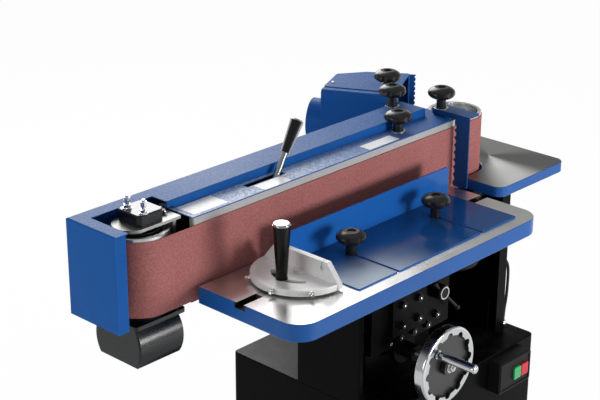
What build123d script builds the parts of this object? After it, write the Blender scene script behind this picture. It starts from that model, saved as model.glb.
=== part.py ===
from build123d import *
import os
from math import acos, cos, pi, radians, sin, tan

os.makedirs("parts", exist_ok=True)

# Oscillating belt sander, in millimetres. The origin is on the floor under the
# middle of the base, +X runs along the belt to the drive drum, -Y to the operator.

# Driving sizes of the belt and the drums
BELT_LENGTH = 2260.0
BELT_WIDTH = 150.0
BELT_THICKNESS = 1.2
BELT_LIFT = 6.0
DRUM_DIAMETER = 120.0
DRUM_EDGE = 6.5
DRUM_FOOT = 1.5
IDLER_X = -808.0
BELT_FRONT_Y = -135.0

# Driving sizes of the tables
TABLE_ABOVE_BASE = 435.0
TABLE_LENGTH = 735.0
TABLE_DEPTH = 260.0
TABLE_RIM = 36.0
TABLE_PLATE = 16.0
TABLE_RIGHT_X = 9.0
TABLE_BELT_GAP = 10.0
BELT_BELOW_TABLE = 32.0
END_TABLE_DROP = 8.0
END_TABLE_RIM = 24.0
END_TABLE_PLATE = 10.0

# Driving sizes of base and column
BASE_LENGTH = 560.0
BASE_DEPTH = 450.0
BASE_HEIGHT = 465.0
BASE_WALL = 3.0
BASE_CORNER = 12.0
COLUMN_HEIGHT = 350.0
COLUMN_Y = (-161.0, 21.0)
COLUMN_SETBACK = 34.0
COLUMN_WALL = 4.0
PIVOT_Y = 8.0
PIVOT_ABOVE_COLUMN = 30.0
PIVOT_RADIUS = 10.0

# Shared fits and stock
SHEET = 2.0
FIT = 0.3
RUNNING_FIT = 0.05
STUD_RADIUS = 3.0
BOLT_RADIUS = 5.0
BOLT_FLATS = 17.0

# Values that follow from the driving sizes
BOLT_HOLE = BOLT_RADIUS + FIT
STUD_HOLE = STUD_RADIUS + FIT
PIVOT_BORE = PIVOT_RADIUS + RUNNING_FIT
COLUMN_X = (-BASE_LENGTH / 2, BASE_LENGTH / 2 - COLUMN_SETBACK)
COLUMN_TOP = BASE_HEIGHT + COLUMN_HEIGHT
PIVOT_Z = COLUMN_TOP + PIVOT_ABOVE_COLUMN
TABLE_TOP = BASE_HEIGHT + TABLE_ABOVE_BASE
END_TABLE_TOP = TABLE_TOP - END_TABLE_DROP
DRUM_RADIUS = DRUM_DIAMETER / 2
BELT_INNER = DRUM_RADIUS + FIT
BELT_OUTER = BELT_INNER + BELT_THICKNESS
DRUM_Y = BELT_FRONT_Y + BELT_OUTER
DRUM_SPACING = (BELT_LENGTH - pi * (BELT_INNER + BELT_OUTER)) / 2
DRIVE_X = IDLER_X + DRUM_SPACING
BELT_BOTTOM = TABLE_TOP - BELT_BELOW_TABLE
BELT_TOP = BELT_BOTTOM + BELT_WIDTH
DRUM_BOTTOM = BELT_BOTTOM - DRUM_FOOT
DRUM_TOP = BELT_TOP + DRUM_EDGE
TABLE_X = (TABLE_RIGHT_X - TABLE_LENGTH, TABLE_RIGHT_X)
TABLE_BACK_Y = BELT_FRONT_Y - TABLE_BELT_GAP
TABLE_Y = (TABLE_BACK_Y - TABLE_DEPTH, TABLE_BACK_Y)


# Helpers that add to, or cut from, the piece being built

def about(middle, half):
    """Range that reaches equally far to both sides of a middle."""
    return (middle - half, middle + half)


def slab(x, y, z, mode=Mode.ADD):
    """Block between two corners, given as ranges along X, Y and Z."""
    with Locations(((x[0] + x[1]) / 2, (y[0] + y[1]) / 2, (z[0] + z[1]) / 2)):
        Box(x[1] - x[0], y[1] - y[0], z[1] - z[0], mode=mode)


def rod(start, end, radius, mode=Mode.ADD):
    """Round bar, or bore, from one point to another."""
    axis = Vector(*end) - Vector(*start)
    middle = (Vector(*start) + Vector(*end)) * 0.5
    with Locations(Plane(origin=middle, z_dir=axis).location):
        Cylinder(radius, axis.length, mode=mode)


def upright(x, y, z, radius, mode=Mode.ADD):
    """Round bar, or bore, along Z over a range of heights."""
    rod((x, y, z[0]), (x, y, z[1]), radius, mode)


def crosswise(x, z, y, radius, mode=Mode.ADD):
    """Round bar, or bore, along Y."""
    rod((x, y[0], z), (x, y[1], z), radius, mode)


def lengthwise(y, z, x, radius, mode=Mode.ADD):
    """Round bar, or bore, along X."""
    rod((x[0], y, z), (x[1], y, z), radius, mode)


def cone(start, end, start_radius, end_radius):
    """Tapered round bar from one point to another."""
    axis = Vector(*end) - Vector(*start)
    middle = (Vector(*start) + Vector(*end)) * 0.5
    with Locations(Plane(origin=middle, z_dir=axis).location):
        Cone(start_radius, end_radius, axis.length)


def prism(plane, points, amount, mode=Mode.ADD):
    """Straight-sided outline on a plane, pushed out along its normal."""
    with BuildSketch(plane) as outline:
        with BuildLine():
            Polyline(*points, close=True)
        make_face()
    extrude(outline.sketch, amount=amount, mode=mode)


def hex_bolt(seat, direction, grip):
    """Bolt with washer and hexagon head on a seat, its shank going into the work."""
    out = Vector(*direction)
    washer_top = Vector(*seat) + out * 2
    with BuildSketch(Plane(origin=washer_top, z_dir=out)) as head:
        RegularPolygon(BOLT_FLATS / 2, 6, major_radius=False)
    extrude(head.sketch, amount=6.4)
    rod(seat, washer_top, BOLT_FLATS / 2 + 2)
    rod((Vector(*seat) - out * grip), seat, BOLT_RADIUS)


def plane_along_x(x):
    """Plane whose own axes are world Y and Z, pushed out along +X."""
    return Plane(origin=(x, 0, 0), x_dir=(0, 1, 0), z_dir=(1, 0, 0))


def plane_along_y(y):
    """Plane whose own axes are world X and Z, pushed out towards the operator."""
    return Plane(origin=(0, y, 0), x_dir=(1, 0, 0), z_dir=(0, -1, 0))


def save(piece, name):
    """Label a finished piece and write it as its own file."""
    piece.part.label = name
    export_step(piece.part, f"parts/{name}.step")


# Base cabinet: folded sheet box, closed top, floor flange turned in at the bottom
FLOOR_FLANGE = 50.0
FLOOR_BOLT_EDGE = 30.0
FLOOR_BOLT_X = BASE_LENGTH - 2 * FLOOR_BOLT_EDGE
FLOOR_BOLT_Y = BASE_DEPTH - 2 * FLOOR_BOLT_EDGE
FLOOR_HOLE = 5.5
POST_X = (COLUMN_X[0] + 56, COLUMN_X[0] + 276)
POST_Y = (-130.0, -60.0)
POST_TOP = BASE_HEIGHT + 366.7
POST_WALL = 8.0
FOOT_X = (POST_X[0] - 26, POST_X[1] + 26)
FOOT_Y = (POST_Y[0] - 15, POST_Y[1] + 15)
FOOT_TOP = BASE_HEIGHT + 10
COLUMN_FOOT_TOP = BASE_HEIGHT + COLUMN_WALL
FOOT_BOLTS = [(x, y) for x in (FOOT_X[0] + 13, FOOT_X[1] - 13) for y in POST_Y]
COLUMN_BOLTS = [(COLUMN_X[0] + 16, -125.0), (COLUMN_X[0] + 16, -40.0),
                (COLUMN_X[0] + 130, COLUMN_Y[1] - 20), (COLUMN_X[1] - 96, COLUMN_Y[1] - 20)]
SWITCH_X = (BASE_LENGTH / 2 - 176, BASE_LENGTH / 2 - 55)
SWITCH_Z = (BASE_HEIGHT - 88, BASE_HEIGHT - 9)
SWITCH_DEPTH = 32.0
LEAD_RADIUS = 3.5
LEAD_Y = -146.0
LEAD_WALL_Z = BASE_HEIGHT + 175
LEAD_BASE_X = BASE_LENGTH / 2 - 16
MAINS_GLAND = (BASE_LENGTH / 2, -BASE_DEPTH / 2 + 25, BASE_HEIGHT - 19)
GLAND_HOLE = 6.3

with BuildPart() as base_cabinet:
    with BuildSketch():
        RectangleRounded(BASE_LENGTH, BASE_DEPTH, BASE_CORNER)
    extrude(amount=BASE_HEIGHT)
    fillet(base_cabinet.faces().sort_by(Axis.Z)[-1].edges(), BASE_WALL)
    with BuildSketch():
        RectangleRounded(
            BASE_LENGTH - 2 * BASE_WALL, BASE_DEPTH - 2 * BASE_WALL, BASE_CORNER - BASE_WALL
        )
    extrude(amount=BASE_HEIGHT - BASE_WALL, mode=Mode.SUBTRACT)
    with BuildSketch():
        RectangleRounded(BASE_LENGTH, BASE_DEPTH, BASE_CORNER)
        Rectangle(BASE_LENGTH - 2 * FLOOR_FLANGE, BASE_DEPTH - 2 * FLOOR_FLANGE, mode=Mode.SUBTRACT)
        with GridLocations(FLOOR_BOLT_X, FLOOR_BOLT_Y, 2, 2):
            Circle(FLOOR_HOLE, mode=Mode.SUBTRACT)
    extrude(amount=BASE_WALL)
    for bolt_x, bolt_y in FOOT_BOLTS + COLUMN_BOLTS:
        upright(bolt_x, bolt_y, (BASE_HEIGHT - 10, BASE_HEIGHT + 1), BOLT_HOLE, Mode.SUBTRACT)
    upright(LEAD_BASE_X, LEAD_Y, (BASE_HEIGHT - 10, BASE_HEIGHT + 1), GLAND_HOLE, Mode.SUBTRACT)
    lengthwise(*MAINS_GLAND[1:], (BASE_LENGTH / 2 - 10, BASE_LENGTH / 2 + 1), GLAND_HOLE, Mode.SUBTRACT)
save(base_cabinet, "base_cabinet")

# Column: U of folded plate, open to the operator, with lugs for the tilt pivot
DUCT_X = (COLUMN_X[1] - 37, COLUMN_X[1] - COLUMN_WALL)
DUCT_Y = (COLUMN_Y[0] + 21, COLUMN_Y[1] - COLUMN_WALL)
DUCT_TOP = BASE_HEIGHT + 80
LUG_THICKNESS = 12.0
LUG_LEFT_X = COLUMN_X[0] + 10
LUG_RIGHT_X = COLUMN_X[0] + 258
LUG_RADIUS = 15.0
LUG_BOTTOM = PIVOT_Z - 75

with BuildPart() as column:
    left, right = COLUMN_X
    front, back = COLUMN_Y
    height = (BASE_HEIGHT, COLUMN_TOP)
    slab((left, left + COLUMN_WALL), COLUMN_Y, height)
    slab((right - COLUMN_WALL, right), COLUMN_Y, height)
    slab(COLUMN_X, (back - COLUMN_WALL, back), height)
    slab((left, left + 12), (front, front + COLUMN_WALL), height)
    slab((right - 32, right), (front, front + COLUMN_WALL), height)
    full_height = 0.9 * COLUMN_HEIGHT
    outer_corners = column.edges().filter_by(Axis.Z).filter_by(lambda edge: edge.length > full_height)
    fillet(outer_corners.group_by(Axis.X)[0] + outer_corners.group_by(Axis.X)[-1], 3)
    foot = (BASE_HEIGHT, COLUMN_FOOT_TOP)
    slab((left + COLUMN_WALL, FOOT_X[0] - 2), (front + COLUMN_WALL, back), foot)
    slab((left, DUCT_X[0]), (back - 36, back), foot)
    slab((DUCT_X[0], right - 1), DUCT_Y, (BASE_HEIGHT, DUCT_TOP))
    slab((DUCT_X[0] + COLUMN_WALL, DUCT_X[1]), (DUCT_Y[0] + COLUMN_WALL, DUCT_Y[1]),
         (BASE_HEIGHT, DUCT_TOP - COLUMN_WALL), Mode.SUBTRACT)
    for lug_x in (LUG_LEFT_X, LUG_RIGHT_X):
        lug = (lug_x, lug_x + LUG_THICKNESS)
        slab(lug, (-4, back), (LUG_BOTTOM, PIVOT_Z - 8))
        lengthwise(PIVOT_Y, PIVOT_Z, (lug[0], lug[1]), LUG_RADIUS)
        lengthwise(PIVOT_Y, PIVOT_Z, (lug[0] - 1, lug[1] + 1), PIVOT_BORE, Mode.SUBTRACT)
    for bolt_x, bolt_y in COLUMN_BOLTS:
        upright(bolt_x, bolt_y, (BASE_HEIGHT - 1, COLUMN_FOOT_TOP + 1), BOLT_HOLE, Mode.SUBTRACT)
    lengthwise(LEAD_Y, LEAD_WALL_Z, (right - 10, right + 1), GLAND_HOLE, Mode.SUBTRACT)
save(column, "column")

with BuildPart() as pivot_shaft:
    lengthwise(PIVOT_Y, PIVOT_Z, (LUG_LEFT_X - 4, LUG_RIGHT_X + LUG_THICKNESS + 4), PIVOT_RADIUS)
    chamfer(pivot_shaft.edges(), 1)
save(pivot_shaft, "pivot_shaft")

with BuildPart() as base_bolts:
    for bolt_x, bolt_y in FOOT_BOLTS:
        hex_bolt((bolt_x, bolt_y, FOOT_TOP), (0, 0, 1), 25)
    for bolt_x, bolt_y in COLUMN_BOLTS:
        hex_bolt((bolt_x, bolt_y, COLUMN_FOOT_TOP), (0, 0, 1), 19)
save(base_bolts, "base_bolts")

# Guide post of the table lift, with the rack on its front face
RACK_MODULE = 2.0
PINION_TEETH = 18
WHEEL_X = POST_X[0] + 90
WHEEL_Z = BASE_HEIGHT + 92
PITCH_RADIUS = RACK_MODULE * PINION_TEETH / 2
RACK_PITCH = pi * RACK_MODULE
RACK_X = WHEEL_X + PITCH_RADIUS
RACK_BACK_X = RACK_X + 18
RACK_FRONT_Y = POST_Y[0] - 16
BACKLASH = 0.4
PRESSURE = radians(20)
RACK_SPACES_BELOW = 6
RACK_SPACES_ABOVE = 16

with BuildPart() as guide_post:
    slab(FOOT_X, FOOT_Y, (BASE_HEIGHT, FOOT_TOP))
    slab(POST_X, POST_Y, (FOOT_TOP, POST_TOP))
    slab((POST_X[0] + POST_WALL, POST_X[1] - POST_WALL), (POST_Y[0] + POST_WALL, POST_Y[1] - POST_WALL),
         (FOOT_TOP, POST_TOP), Mode.SUBTRACT)
    slab((POST_X[0] + 1, POST_X[1] - 1), (POST_Y[0] + 1, POST_Y[1] - 1), (POST_TOP - 6, POST_TOP))
    for bolt_x, bolt_y in FOOT_BOLTS:
        upright(bolt_x, bolt_y, (BASE_HEIGHT - 1, FOOT_TOP + 1), BOLT_HOLE, Mode.SUBTRACT)
save(guide_post, "guide_post")

with BuildPart() as rack:
    rack_root = RACK_X + 1.25 * RACK_MODULE
    rack_tip = RACK_X - RACK_MODULE
    half_at_pitch = (RACK_PITCH / 2 - BACKLASH / 2) / 2
    half_at_root = half_at_pitch + 1.25 * RACK_MODULE * tan(PRESSURE)
    half_at_tip = half_at_pitch - RACK_MODULE * tan(PRESSURE)
    rack_bottom = WHEEL_Z - RACK_SPACES_BELOW * RACK_PITCH
    rack_top = WHEEL_Z + RACK_SPACES_ABOVE * RACK_PITCH
    slab((rack_root, RACK_BACK_X), (RACK_FRONT_Y, POST_Y[0]), (rack_bottom, rack_top))
    for number in range(RACK_SPACES_BELOW + RACK_SPACES_ABOVE):
        tooth_z = rack_bottom + (number + 0.5) * RACK_PITCH
        prism(plane_along_y(POST_Y[0]),
              [(rack_root + 0.5, tooth_z - half_at_root), (rack_root, tooth_z - half_at_root),
               (rack_tip, tooth_z - half_at_tip), (rack_tip, tooth_z + half_at_tip),
               (rack_root, tooth_z + half_at_root), (rack_root + 0.5, tooth_z + half_at_root)],
              POST_Y[0] - RACK_FRONT_Y)
save(rack, "rack")

# Carriage on the post, table bracket, clamp screw
CARRIAGE_Z = (WHEEL_Z + 18, WHEEL_Z + 188)
CARRIAGE_FRONT_Y = -165.0
CARRIAGE_PLATE = 18.0
CHEEK = 21.7
BRACKET_X = (POST_X[0] + 34, POST_X[0] + 147)
BRACKET_PLATE = 12.0
BRACKET_BOTTOM = WHEEL_Z + 47
BRACKET_CORNER = 96.0
BRACKET_FRONT_Y = CARRIAGE_FRONT_Y - BRACKET_PLATE
TABLE_UNDERSIDE = TABLE_TOP - TABLE_PLATE
BRACKET_BOLT_X = (BRACKET_X[0] + 29, BRACKET_X[1] - 29)
BRACKET_BOLT_Z = (BRACKET_BOTTOM + 22, BRACKET_BOTTOM + 71)
BRACKET_BOLTS = [(x, z) for x in BRACKET_BOLT_X for z in BRACKET_BOLT_Z]
CARRIAGE_BOLTS = [(POST_X[0] + along, CARRIAGE_Z[0] + 15) for along in (34, 69, 117, 164)]
CARRIAGE_BOLTS.append((POST_X[0] + 196, CARRIAGE_Z[0] + 29))
CLAMP_X = POST_X[0] + 188
CLAMP_Z = CARRIAGE_Z[0] + 92
CLAMP_SCREW = 6.0
SHAFT_RADIUS = 8.0
SHAFT_BORE = SHAFT_RADIUS + RUNNING_FIT
BOSS_FRONT_Y = -200.0

with BuildPart() as carriage:
    plate_back = CARRIAGE_FRONT_Y + CARRIAGE_PLATE
    outer = (POST_X[0] - FIT - CHEEK, POST_X[1] + FIT + CHEEK)
    inner = (POST_X[0] - FIT, POST_X[1] + FIT)
    keeper_y = (POST_Y[1] + FIT, POST_Y[1] + FIT + 12)
    slab(outer, (CARRIAGE_FRONT_Y, plate_back), CARRIAGE_Z)
    slab((outer[0], inner[0]), (plate_back, keeper_y[1]), CARRIAGE_Z)
    slab((inner[1], outer[1]), (plate_back, keeper_y[1]), CARRIAGE_Z)
    slab((outer[0], inner[0] + 20), keeper_y, CARRIAGE_Z)
    slab((inner[1] - 20, outer[1]), keeper_y, CARRIAGE_Z)
    slab((outer[0], inner[0] + 24), (plate_back, POST_Y[0] - FIT), CARRIAGE_Z)
    slab((inner[1] - 56, outer[1]), (plate_back, POST_Y[0] - FIT), CARRIAGE_Z)
    slab((WHEEL_X - 34, WHEEL_X + 34), (CARRIAGE_FRONT_Y, plate_back), (WHEEL_Z, CARRIAGE_Z[0]))
    crosswise(WHEEL_X, WHEEL_Z, (CARRIAGE_FRONT_Y, plate_back), 34)
    crosswise(WHEEL_X, WHEEL_Z, (BOSS_FRONT_Y, plate_back), 18)
    crosswise(WHEEL_X, WHEEL_Z, (BOSS_FRONT_Y - 1, plate_back + 1), SHAFT_BORE, Mode.SUBTRACT)
    crosswise(CLAMP_X, CLAMP_Z, (CARRIAGE_FRONT_Y - 1, POST_Y[0]), CLAMP_SCREW + FIT, Mode.SUBTRACT)
    for bolt_x, bolt_z in BRACKET_BOLTS + CARRIAGE_BOLTS:
        bolt_hole = (CARRIAGE_FRONT_Y - 1, CARRIAGE_FRONT_Y + 13)
        crosswise(bolt_x, bolt_z, bolt_hole, BOLT_HOLE, Mode.SUBTRACT)
save(carriage, "carriage")

with BuildPart() as table_bracket:
    flange = (TABLE_UNDERSIDE - 8, TABLE_UNDERSIDE)
    slab(BRACKET_X, (BRACKET_FRONT_Y, CARRIAGE_FRONT_Y), (BRACKET_BOTTOM, flange[1]))
    slab((BRACKET_X[0] - 60, BRACKET_X[1] + 40), (-345, CARRIAGE_FRONT_Y), flange)
    for gusset_x in (BRACKET_X[0], BRACKET_X[1] - 8):
        corners = [(BRACKET_FRONT_Y, flange[0]), (BRACKET_FRONT_Y, BRACKET_BOTTOM + BRACKET_CORNER),
                   (-330, flange[0])]
        prism(plane_along_x(gusset_x), corners, 8)
    for bolt_x, bolt_z in BRACKET_BOLTS:
        crosswise(bolt_x, bolt_z, (BRACKET_FRONT_Y - 1, CARRIAGE_FRONT_Y + 1), BOLT_HOLE, Mode.SUBTRACT)
save(table_bracket, "table_bracket")

with BuildPart() as bracket_bolts:
    for bolt_x, bolt_z in BRACKET_BOLTS:
        hex_bolt((bolt_x, BRACKET_FRONT_Y, bolt_z), (0, -1, 0), BRACKET_PLATE + 12)
    for bolt_x, bolt_z in CARRIAGE_BOLTS:
        hex_bolt((bolt_x, CARRIAGE_FRONT_Y, bolt_z), (0, -1, 0), 12)
save(bracket_bolts, "bracket_bolts")

with BuildPart() as clamp_screw:
    hub_y = (CARRIAGE_FRONT_Y - 30, CARRIAGE_FRONT_Y - 3)
    bar_y = hub_y[0] + 7
    crosswise(CLAMP_X, CLAMP_Z, (hub_y[0], hub_y[1]), 18)
    chamfer(clamp_screw.edges().group_by(Axis.Y)[0], 2)
    crosswise(CLAMP_X, CLAMP_Z, (hub_y[1], POST_Y[0] - FIT), CLAMP_SCREW)
    rod((CLAMP_X - 28, bar_y, CLAMP_Z + 28), (CLAMP_X + 56, bar_y, CLAMP_Z - 56), 4)
    for end_x, end_z in ((-28, 28), (56, -56)):
        with Locations((CLAMP_X + end_x, bar_y, CLAMP_Z + end_z)):
            Sphere(7)
save(clamp_screw, "clamp_screw")

# Handwheel, its shaft with the pinion, and the crank handle
WHEEL_RADIUS = 89.0
WHEEL_FRONT_Y = -289.0
WHEEL_BACK_Y = -262.0
WHEEL_RIM = 18.0
WHEEL_NOTCHES = 12
WHEEL_NOTCH = 9.0
HUB_BACK_Y = -232.0
CRANK_REACH = 57.0
CRANK_ANGLE = 132.0
CRANK_X = WHEEL_X + CRANK_REACH * cos(radians(CRANK_ANGLE))
CRANK_Z = WHEEL_Z + CRANK_REACH * sin(radians(CRANK_ANGLE))
CRANK_LENGTH = 100.0
CRANK_PIN = 5.0
WEB_FRONT_Y = WHEEL_FRONT_Y + 9

with BuildPart() as handwheel:
    crosswise(WHEEL_X, WHEEL_Z, (WHEEL_FRONT_Y, WHEEL_BACK_Y), WHEEL_RADIUS)
    fillet(handwheel.edges(), 5)
    with BuildSketch(plane_along_y(WEB_FRONT_Y)) as dish:
        with Locations((WHEEL_X, WHEEL_Z)):
            Circle(WHEEL_RADIUS - WHEEL_RIM)
            with PolarLocations(WHEEL_RADIUS - WHEEL_RIM - 1, WHEEL_NOTCHES):
                Circle(WHEEL_NOTCH)
    extrude(dish.sketch, amount=20, mode=Mode.SUBTRACT)
    with BuildSketch(plane_along_y(WHEEL_BACK_Y + 1)) as back_dish:
        with Locations((WHEEL_X, WHEEL_Z)):
            Circle(WHEEL_RADIUS - WHEEL_RIM)
    extrude(back_dish.sketch, amount=6, mode=Mode.SUBTRACT)
    crosswise(WHEEL_X, WHEEL_Z, (WHEEL_FRONT_Y - 4, HUB_BACK_Y), 20)
    crosswise(CRANK_X, CRANK_Z, (WHEEL_FRONT_Y, WHEEL_BACK_Y - 3), 10)
    crosswise(CRANK_X, CRANK_Z, (WHEEL_FRONT_Y - CRANK_LENGTH + 8, WHEEL_FRONT_Y), CRANK_PIN)
    crosswise(WHEEL_X, WHEEL_Z, (WHEEL_FRONT_Y + 4, HUB_BACK_Y + 1), SHAFT_BORE, Mode.SUBTRACT)
save(handwheel, "handwheel")

with BuildPart() as crank_handle:
    grip_back = WHEEL_FRONT_Y - FIT
    grip_front = WHEEL_FRONT_Y - CRANK_LENGTH
    cone((CRANK_X, grip_back, CRANK_Z), (CRANK_X, grip_back - 16, CRANK_Z), 7.5, 10)
    crosswise(CRANK_X, CRANK_Z, (grip_back - 16, grip_front), 10)
    fillet(crank_handle.edges().group_by(Axis.Y)[0], 6)
    crosswise(CRANK_X, CRANK_Z, (grip_front + 7, grip_back + 1), CRANK_PIN + RUNNING_FIT, Mode.SUBTRACT)
save(crank_handle, "crank_handle")


def tooth_half_width(radius):
    """Half the thickness of an involute pinion tooth at a radius."""
    base_radius = PITCH_RADIUS * cos(PRESSURE)
    angle = acos(min(1.0, base_radius / max(radius, base_radius)))
    pitch_half_angle = (RACK_PITCH / 2 - BACKLASH / 2) / (2 * PITCH_RADIUS)
    half_angle = pitch_half_angle + (tan(PRESSURE) - PRESSURE) - (tan(angle) - angle)
    return radius * half_angle


with BuildPart() as pinion_shaft:
    pinion_y = (RACK_FRONT_Y, POST_Y[0] - 4)
    root_radius = PITCH_RADIUS - 1.25 * RACK_MODULE
    tip_radius = PITCH_RADIUS + RACK_MODULE
    flank = [root_radius - 1, root_radius + 1.4, PITCH_RADIUS, PITCH_RADIUS + 1, tip_radius]
    lower_side = [(radius, -tooth_half_width(radius)) for radius in flank]
    upper_side = [(radius, tooth_half_width(radius)) for radius in reversed(flank)]
    pinion_plane = Plane(origin=(WHEEL_X, pinion_y[1], WHEEL_Z), x_dir=(1, 0, 0), z_dir=(0, -1, 0))
    with BuildSketch(pinion_plane) as pinion:
        Circle(root_radius)
        with PolarLocations(0, PINION_TEETH):
            Polygon(*lower_side, *upper_side, align=None)
    extrude(pinion.sketch, amount=pinion_y[1] - pinion_y[0])
    crosswise(WHEEL_X, WHEEL_Z, (WHEEL_FRONT_Y + 5, pinion_y[1]), SHAFT_RADIUS)
save(pinion_shaft, "pinion_shaft")

# Main table with its T-slot, and the nuts in the slot
TABLE_WALL = 12.0
TABLE_CORNER = 45.0
SLOT_Y = -254.0
SLOT_WIDTH = 19.0
SLOT_UNDERCUT = 27.0
SLOT_LIP = 6.0
SLOT_DEPTH = 11.0
FENCE_STUD_X = (-421.0, -158.0)

with BuildPart() as table:
    with BuildSketch(Plane.XY.offset(TABLE_TOP)) as table_outline:
        with Locations((sum(TABLE_X) / 2, sum(TABLE_Y) / 2)):
            Rectangle(TABLE_LENGTH, TABLE_DEPTH)
        fillet(table_outline.vertices().group_by(Axis.Y)[0], TABLE_CORNER)
    extrude(amount=-TABLE_RIM)
    fillet(table.faces().sort_by(Axis.Z)[0].edges(), 3)
    chamfer(table.faces().sort_by(Axis.Z)[-1].edges(), 1)
    with BuildSketch(Plane.XY.offset(TABLE_TOP - TABLE_RIM)) as table_pocket:
        with Locations((sum(TABLE_X) / 2, sum(TABLE_Y) / 2)):
            Rectangle(TABLE_LENGTH - 2 * TABLE_WALL, TABLE_DEPTH - 2 * TABLE_WALL)
        fillet(table_pocket.vertices().group_by(Axis.Y)[0], TABLE_CORNER - TABLE_WALL)
    extrude(amount=TABLE_RIM - TABLE_PLATE, mode=Mode.SUBTRACT)
    slot_length = (TABLE_X[0] - 1, TABLE_X[1] + 1)
    slot_floor = TABLE_TOP - SLOT_DEPTH
    lip_bottom = TABLE_TOP - SLOT_LIP
    slab(slot_length, about(SLOT_Y, SLOT_WIDTH / 2), (slot_floor, TABLE_TOP + 1), Mode.SUBTRACT)
    slab(slot_length, about(SLOT_Y, SLOT_UNDERCUT / 2), (slot_floor, lip_bottom), Mode.SUBTRACT)
save(table, "table")

with BuildPart() as slot_nuts:
    for stud_x in FENCE_STUD_X:
        length = (stud_x - 13, stud_x + 13)
        wide = SLOT_UNDERCUT / 2 - FIT
        narrow = SLOT_WIDTH / 2 - FIT
        slab(length, about(SLOT_Y, wide), (slot_floor, lip_bottom - FIT))
        slab(length, about(SLOT_Y, narrow), (lip_bottom - FIT, TABLE_TOP - 0.5))
        upright(stud_x, SLOT_Y, (slot_floor - 1, TABLE_TOP), STUD_HOLE, Mode.SUBTRACT)
save(slot_nuts, "slot_nuts")

# Fence: bent plate with two slots that are open to the front
FENCE_X = (-534.0, -42.0)
FENCE_Y = (-374.0, -193.0)
FENCE_TOP = TABLE_TOP + 67
FENCE_PLATE = 3.0
FENCE_SLOT = 7.0

with BuildPart() as fence:
    bend = [(FENCE_Y[0], TABLE_TOP), (FENCE_Y[1], TABLE_TOP), (FENCE_Y[1], FENCE_TOP),
            (FENCE_Y[1] - FENCE_PLATE, FENCE_TOP), (FENCE_Y[1] - FENCE_PLATE, TABLE_TOP + FENCE_PLATE),
            (FENCE_Y[0], TABLE_TOP + FENCE_PLATE)]
    prism(plane_along_x(FENCE_X[0]), bend, FENCE_X[1] - FENCE_X[0])
    long_edges = fence.edges().filter_by(Axis.X)
    fillet(long_edges.filter_by_position(Axis.Y, FENCE_Y[1] - 4, FENCE_Y[1]).group_by(Axis.Z)[0], 4)
    front_corners = fence.edges().filter_by(Axis.Z).filter_by_position(Axis.Y, *about(FENCE_Y[0], 1))
    fillet(front_corners, 2)
    top_corners = fence.edges().filter_by(Axis.Y).filter_by_position(Axis.Z, *about(FENCE_TOP, 1))
    fillet(top_corners, 8)
    through = (TABLE_TOP - 1, TABLE_TOP + FENCE_PLATE + 1)
    for stud_x in FENCE_STUD_X:
        slab(about(stud_x, FENCE_SLOT / 2), (FENCE_Y[0] - 1, SLOT_Y), through, Mode.SUBTRACT)
        upright(stud_x, SLOT_Y, through, FENCE_SLOT / 2, Mode.SUBTRACT)
save(fence, "fence")

# Star knobs, all of one pattern, each on its own stud
KNOB_RADIUS = 30.3
KNOB_FLUTES = 7
KNOB_SWELL = 15.3
FLUTE_RADIUS = 10.0
FLUTE_DEPTH = 2.6
KNOB_HEAD = 26.0
KNOB_DIMPLE = 9.0
KNOB_STEM_RADIUS = 10.5


def star_knob(name, x, y, seat, stem, stud):
    """Star knob standing on a seat height, with a stem above and a stud below it."""
    head_bottom = seat + FIT + stem
    with BuildPart() as knob:
        middle = (x, y, head_bottom + KNOB_HEAD / 2)
        with BuildSketch(Plane(origin=middle, x_dir=(1, 0, 0), z_dir=(0, -1, 0))) as lens:
            Ellipse(KNOB_RADIUS, KNOB_SWELL)
            with Locations((KNOB_RADIUS, 0)):
                Rectangle(2 * KNOB_RADIUS, KNOB_HEAD, mode=Mode.INTERSECT)
        revolve(lens.sketch, axis=Axis(middle, (0, 0, 1)))
        for number in range(KNOB_FLUTES):
            angle = 2 * pi * number / KNOB_FLUTES
            reach = KNOB_RADIUS + FLUTE_RADIUS - FLUTE_DEPTH
            flute = (head_bottom - 1, head_bottom + KNOB_HEAD + 1)
            upright(x + reach * cos(angle), y + reach * sin(angle), flute, FLUTE_RADIUS, Mode.SUBTRACT)
        upright(x, y, (head_bottom + KNOB_HEAD - 3, head_bottom + KNOB_HEAD + 1), KNOB_DIMPLE, Mode.SUBTRACT)
        upright(x, y, (seat + FIT, head_bottom + 3), KNOB_STEM_RADIUS)
        upright(x, y, (seat + FIT, seat + FIT + 3), KNOB_STEM_RADIUS + 1.5)
        upright(x, y, (seat - stud, seat + FIT), STUD_RADIUS)
    save(knob, name)


PLATEN_TOP = BELT_TOP + 15
COVER_TOP = PLATEN_TOP + SHEET
GUARD_TOP = BELT_TOP + 35
STOP_TOP = BELT_TOP + 31
LID_TOP = BELT_TOP + 52
PLATEN_KNOB = (-93.0, -95.0)
GUARD_KNOB = (-13.0, -11.0)
STOP_KNOB = (60.0, -90.0)
LID_KNOB = (30.0, 40.0)
FENCE_SEAT = TABLE_TOP + FENCE_PLATE
star_knob("fence_knob_left", FENCE_STUD_X[0], SLOT_Y, FENCE_SEAT, 22, 12)
star_knob("fence_knob_right", FENCE_STUD_X[1], SLOT_Y, FENCE_SEAT, 22, 12)
star_knob("platen_knob", *PLATEN_KNOB, COVER_TOP, 19, 12)
star_knob("guard_knob", *GUARD_KNOB, GUARD_TOP, 22, 12)
star_knob("stop_knob", *STOP_KNOB, STOP_TOP, 22, 12)
star_knob("lid_knob", *LID_KNOB, LID_TOP, 18, 12)

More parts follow.
